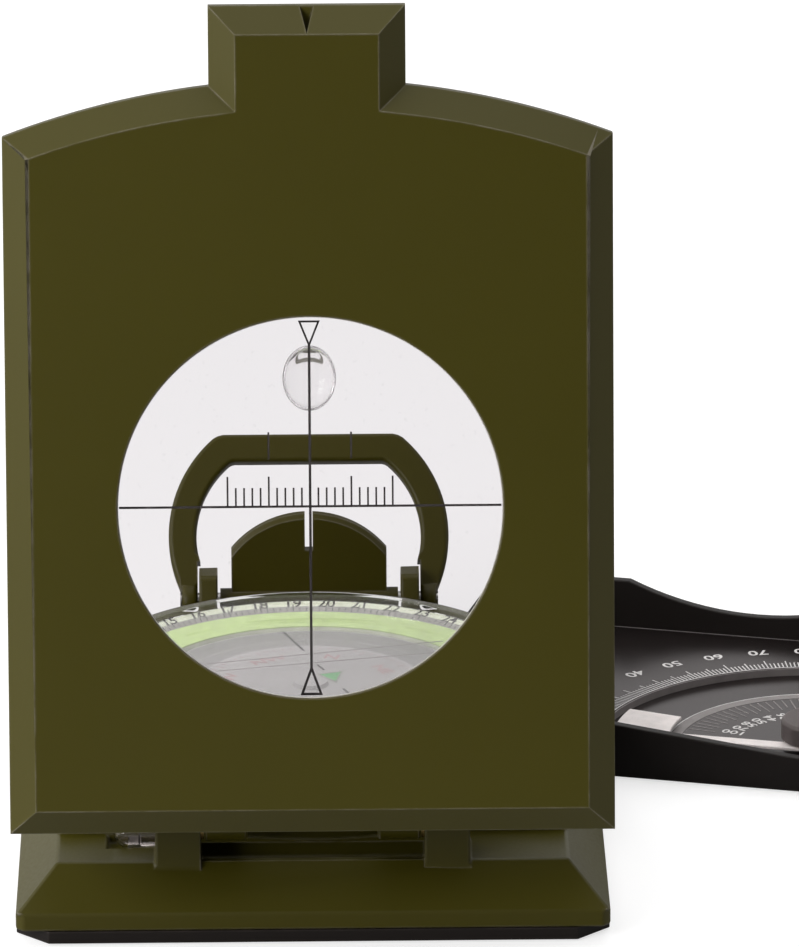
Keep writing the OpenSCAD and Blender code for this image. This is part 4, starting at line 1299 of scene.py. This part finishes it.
class BuildTray(bpy.types.Operator):
    """Build the clinometer's tray, its plate and its printed scales."""

    bl_idname = "compass.build_tray"
    bl_label = "Clinometer tray"

    shell_round = 0.18
    plate_round = 0.1
    disc_round = 0.08
    hub_round = 0.12
    zero_angle = -5.2
    inside_length = 60
    wall = 1.4
    print_margin = 1.6
    tick_inner = 25.6
    tick_outer = (27.0, 27.6, 28.0)
    tick_width = 0.13
    label_radius = 31.0
    ink = (0.004, 0.03)
    recess_line = 25.38
    recess_wall = 25.12
    wall_rise = 0.85
    disc_line = 17.28
    disc_band = (16.0, 1.2)
    line_width = 0.14
    far_wall = ((-43.5, 33.2), (13.0, 33.2))
    grade_tick_outer = 15.7
    grade_tick_inner = (12.6, 13.2)
    grade_tick_width = 0.15
    grade_tick_count = 31
    first_grade_tick = 8
    grade_tick_step = 3.6
    grade_size = 1.5
    grade_radius = 10.6
    first_grade = 12
    grade_step = 8.6
    grades = (100, 70, 58, 50, 44, 36, 30, 24, 18, 12, 8, 4)

    def execute(self, context):
        refined_piece("tray_shell", "tray_casting", self.shell_round, "black", "tray",
                      "black_paint")
        refined_piece("clinometer_plate", "scale_plate", self.plate_round, "scale", "tray",
                      "scale_black")
        refined_piece("inner_scale_disc", "inner_scale", self.disc_round, "scale", "tray",
                      "scale_black")
        refined_piece("hub_cap", "hub_button", self.hub_round, "hub", "tray", "scale_black")
        dress("tray_bush", "brass")
        dress("pendulum_pin", "steel")
        self.outer_scale()
        self.rings()
        self.inner_scale()
        return {"FINISHED"}

    def way(self, degrees):
        """Direction of a reading: zero toward the tray's pivot, ninety away from its near wall."""
        angle = math.radians(degrees)
        return Vector((-math.cos(angle), math.sin(angle)))

    def outer_scale(self):
        """The ticks of one degree and the numbers of ten."""
        bm = bmesh.new()
        low, high = (PLATE_Z + lift for lift in self.ink)
        for degree in range(6, 115):
            way = self.way(degree + self.zero_angle)
            reach = self.tick_outer[(degree % 5 == 0) + (degree % 10 == 0)]
            add_bar(bm, way * self.tick_inner, way * reach, self.tick_width, low, high)
        for degree in range(10, 115, 10):
            way = self.way(degree + self.zero_angle)
            turn = Matrix.Rotation(math.atan2(way.y, way.x) + math.pi / 2, 4, "Z")
            spot = way * self.label_radius
            place = Matrix.Translation((spot.x, spot.y, PLATE_Z + 0.015)) @ turn
            reading = degree if degree <= 90 else 180 - degree
            add_text(bm, str(reading), sizes().scale_height, 0.03, place, 1.15)
        show_mesh(bm, "slope_scale", scale_place(), "white_print", "tray", "white_paint")

    def ring_piece(self, name, radius, width, height, material, rise=0.025):
        """A thin flat ring round the scale's centre, kept inside the tray."""
        bm = bmesh.new()
        add_ring(bm, box_profile(radius, radius + width, height + 0.003, height + rise),
                 SCALE_STEPS)
        bmesh.ops.remove_doubles(bm, verts=bm.verts, dist=1e-5)
        self.trim(bm)
        show_mesh(bm, name, scale_place(), material, "tray", "white_paint", recalculate=True)

    def trim(self, bm):
        """Cuts off what would lie in the tray's walls."""
        near = -SCALE_CENTRE[1] + self.wall
        end = self.inside_length - SCALE_CENTRE[0] - self.wall
        for point, normal in (((0, near, 0), (0, -1, 0)), ((end, 0, 0), (1, 0, 0))):
            cut = bmesh.ops.bisect_plane(bm, geom=bm.verts[:] + bm.edges[:] + bm.faces[:],
                                         plane_co=point, plane_no=normal, clear_outer=True)
            edges = [item for item in cut["geom_cut"] if isinstance(item, bmesh.types.BMEdge)]
            bmesh.ops.holes_fill(bm, edges=edges, sides=0)

    def rings(self):
        """Painted light on the recess's wall, painted highlights along the recess's edge and at the
        far wall's foot, and the lines at the disc's edge.
        """
        width = self.line_width
        # A grey band on the recess's wall: painted light that stands for the lit wall.
        self.ring_piece("recess_wall", self.recess_wall, width, RECESS_FLOOR, "grey_print",
                        self.wall_rise)
        # A grey bar at the far wall's foot: a painted highlight of that edge.
        bm = bmesh.new()
        add_bar(bm, *self.far_wall, width, *(PLATE_Z + lift for lift in self.ink))
        show_mesh(bm, "far_wall_highlight", scale_place(), "grey_print", "tray", "scale_black")
        # A white ring at the recess's outer edge: a painted highlight.
        self.ring_piece("recess_line", self.recess_line, width, PLATE_Z, "white_print")
        self.ring_piece("disc_line", self.disc_line, 0.13, DISC_Z, "white_print")
        self.ring_piece("disc_band", *self.disc_band, DISC_Z - 0.001, "grey_print")

    def inner_scale(self):
        """The short ticks and the small numbers of the inner disc."""
        bm = bmesh.new()
        low = DISC_Z + self.ink[0]
        high = DISC_Z + THIN_INK_HIGH
        end = self.inside_length - SCALE_CENTRE[0] - self.print_margin
        for index in range(self.grade_tick_count):
            way = self.way(self.first_grade_tick + index * self.grade_tick_step)
            inner = self.grade_tick_inner[index % 2]
            if way.x * self.disc_band[0] < end:
                add_bar(bm, way * inner, way * self.grade_tick_outer, self.grade_tick_width,
                        low, high)
        show_mesh(bm, "grade_ticks", scale_place(), "grey_print", "tray", "white_paint")
        bm = bmesh.new()
        for index, grade in enumerate(self.grades):
            way = self.way(self.first_grade + index * self.grade_step)
            turn = Matrix.Rotation(math.atan2(way.y, way.x), 4, "Z")
            spot = way * self.grade_radius
            place = Matrix.Translation((spot.x, spot.y, DISC_Z + 0.012)) @ turn
            add_text(bm, str(grade), self.grade_size, 0.02, place, 1.3)
        show_mesh(bm, "grade_numbers", scale_place(), "white_print", "tray", "white_paint")


class BuildPendulum(bpy.types.Operator):
    """Finish the pendulum and its weight."""

    bl_idname = "compass.build_pendulum"
    bl_label = "Pendulum"

    arm_round = 0.1
    block_round = 0.08

    def execute(self, context):
        refined_piece("pendulum", "pendulum_arm", self.arm_round, "pendulum",
                      "clinometer_pendulum", "white_paint")
        refined_piece("pendulum_weight", "pendulum_block", self.block_round, "brass",
                      "clinometer_pendulum", "brass")
        return {"FINISHED"}


class BuildStage(bpy.types.Operator):
    """Set the floor, the lights, the world and the camera."""

    bl_idname = "compass.build_stage"
    bl_label = "Stage"

    camera_place = (-2.243, -964.721, 368.576)
    elevation = math.radians(18.406)
    yaw = math.radians(0.706)
    roll = math.radians(0.251)
    focal_pixels = 9480.0
    frame_height = 947.0
    sensor = 36.0
    floor_half = 6.0
    floor_middle = (0, 5.72, -0.0002)
    floor_glow = 0.66
    world_levels = (0.03, 0.85)
    target = (0.0, 0.01, 0.03)

    def execute(self, context):
        self.floor()
        self.world()
        self.lamps()
        self.camera()
        view = bpy.context.scene.view_settings
        view.view_transform = "Standard"
        return {"FINISHED"}

    def floor(self):
        """A wide pale floor that the camera sees as nearly white, and clear from below."""
        bm = bmesh.new()
        bmesh.ops.create_grid(bm, x_segments=1, y_segments=1, size=self.floor_half)
        bmesh.ops.translate(bm, vec=self.floor_middle, verts=bm.verts)
        mesh = plain_mesh(bm, "floor")
        floor = bpy.data.objects.new("floor", mesh)
        bpy.context.scene.collection.objects.link(floor)
        finish = Finish("floor_finish")
        grains = finish.group("SurfaceGrain", Tone_Scale=3.0)
        finish.link(finish.mix(grains["Tone"], (0.40, 0.396, 0.396), (0.41, 0.406, 0.406)),
                    "Base Color")
        glow = calculate(finish.tree, "MULTIPLY", seen_directly(finish.tree), self.floor_glow)
        finish.link(glow, "Emission Strength")
        finish.set(Roughness=0.8, Emission_Color=(1, 1, 1, 1))
        below = finish.tree.nodes.new("ShaderNodeNewGeometry").outputs["Backfacing"]
        finish.link(map_range(finish.tree, below, 0, 1, 1, 0), "Alpha")
        mesh.materials.append(finish.material)

    def world(self):
        """Soft light that falls off toward the front, seen as white."""
        world = bpy.data.worlds.new("studio_world")
        bpy.context.scene.world = world
        world.use_nodes = True
        tree = world.node_tree
        background = tree.nodes["Background"]
        background.inputs["Color"].default_value = (1.0, 1.0, 1.0, 1.0)
        way = tree.nodes.new("ShaderNodeSeparateXYZ")
        tree.links.new(tree.nodes.new("ShaderNodeTexCoord").outputs["Generated"],
                       way.inputs["Vector"])
        slant = calculate(tree, "ADD", way.outputs["Y"], way.outputs["Z"])
        lit = map_range(tree, slant, -0.6, 0.7, *self.world_levels)
        strength = calculate(tree, "MAXIMUM", lit, seen_directly(tree))
        tree.links.new(strength, background.inputs["Strength"])

    def lamps(self):
        """Four soft boxes: above, at the left, at the right and low at the front left."""
        self.lamp("light_above", place=(0.0, 0.35, 1.3), size=1.4, power=5.2)
        self.lamp("light_left", place=(-1.1, 0.0, 0.5), size=0.9, power=8.0)
        self.lamp("light_right", place=(1.2, 0.0, 0.55), size=0.8, power=1.6)
        self.lamp("light_front", place=(-0.42, -0.42, 0.27), size=0.35, power=3.7)

    def lamp(self, name, place, size, power):
        """A square area light that looks at the compass."""
        data = bpy.data.lights.new(name, "AREA")
        data.shape = "SQUARE"
        data.size = size
        data.energy = power
        lamp = bpy.data.objects.new(name, data)
        lamp.visible_camera = False
        bpy.context.scene.collection.objects.link(lamp)
        aim = Vector(self.target) - Vector(place)
        turn = aim.to_track_quat("-Z", "Y").to_matrix().to_4x4()
        lamp.matrix_world = Matrix.Translation(place) @ turn

    def camera(self):
        """A long lens at the photograph's viewpoint."""
        up_sine = math.sin(self.elevation)
        level = math.cos(self.elevation)
        ahead = Vector((math.sin(self.yaw) * level, math.cos(self.yaw) * level, -up_sine))
        right = ahead.cross(Vector((0, 0, 1))).normalized()
        above = right.cross(ahead)
        turn_cos = math.cos(self.roll)
        turn_sin = math.sin(self.roll)
        side = turn_cos * right - turn_sin * above
        top = turn_sin * right + turn_cos * above
        data = bpy.data.cameras.new("camera")
        data.sensor_width = self.sensor
        data.lens = self.focal_pixels / self.frame_height * self.sensor
        data.clip_start = 0.05
        data.clip_end = 20.0
        camera = bpy.data.objects.new("camera", data)
        bpy.context.scene.collection.objects.link(camera)
        turn = Matrix((side, top, -ahead)).transposed().to_4x4()
        camera.matrix_world = Matrix.Translation(Vector(self.camera_place) * MM) @ turn
        bpy.context.scene.camera = camera


class CompassPanel(bpy.types.Panel):
    """The compass's settings and builders."""

    bl_idname = "VIEW3D_PT_compass"
    bl_label = "Sighting Compass"
    bl_space_type = "VIEW_3D"
    bl_region_type = "UI"
    bl_category = "Compass"

    def draw(self, context):
        layout = self.layout
        for group in (context.scene.compass_colours, context.scene.compass_sizes):
            box = layout.box()
            for name in group.__annotations__:
                box.prop(group, name)
        for operator in OPERATORS:
            layout.operator(operator.bl_idname)


OPERATORS = (
    BuildFinishes, BuildCase, BuildLid, BuildReticle, BuildHinges, BuildSight, BuildVial,
    BuildDial, BuildCard, BuildTray, BuildPendulum, BuildStage,
)
CLASSES = (CompassColours, CompassSizes, *OPERATORS, CompassPanel)


def register():
    """Registers the settings, the builders and the panel."""
    for item in CLASSES:
        bpy.utils.register_class(item)
    bpy.types.Scene.compass_colours = bpy.props.PointerProperty(type=CompassColours)
    bpy.types.Scene.compass_sizes = bpy.props.PointerProperty(type=CompassSizes)


def unregister():
    """Removes what register() added."""
    del bpy.types.Scene.compass_sizes
    del bpy.types.Scene.compass_colours
    for item in reversed(CLASSES):
        bpy.utils.unregister_class(item)


def main():
    """Builds every piece in order."""
    register()
    bpy.ops.compass.build_finishes()
    bpy.ops.compass.build_case()
    bpy.ops.compass.build_lid()
    bpy.ops.compass.build_reticle()
    bpy.ops.compass.build_hinges()
    bpy.ops.compass.build_sight()
    bpy.ops.compass.build_vial()
    bpy.ops.compass.build_dial()
    bpy.ops.compass.build_card()
    bpy.ops.compass.build_tray()
    bpy.ops.compass.build_pendulum()
    bpy.ops.compass.build_stage()


if __name__ == "__main__":
    main()
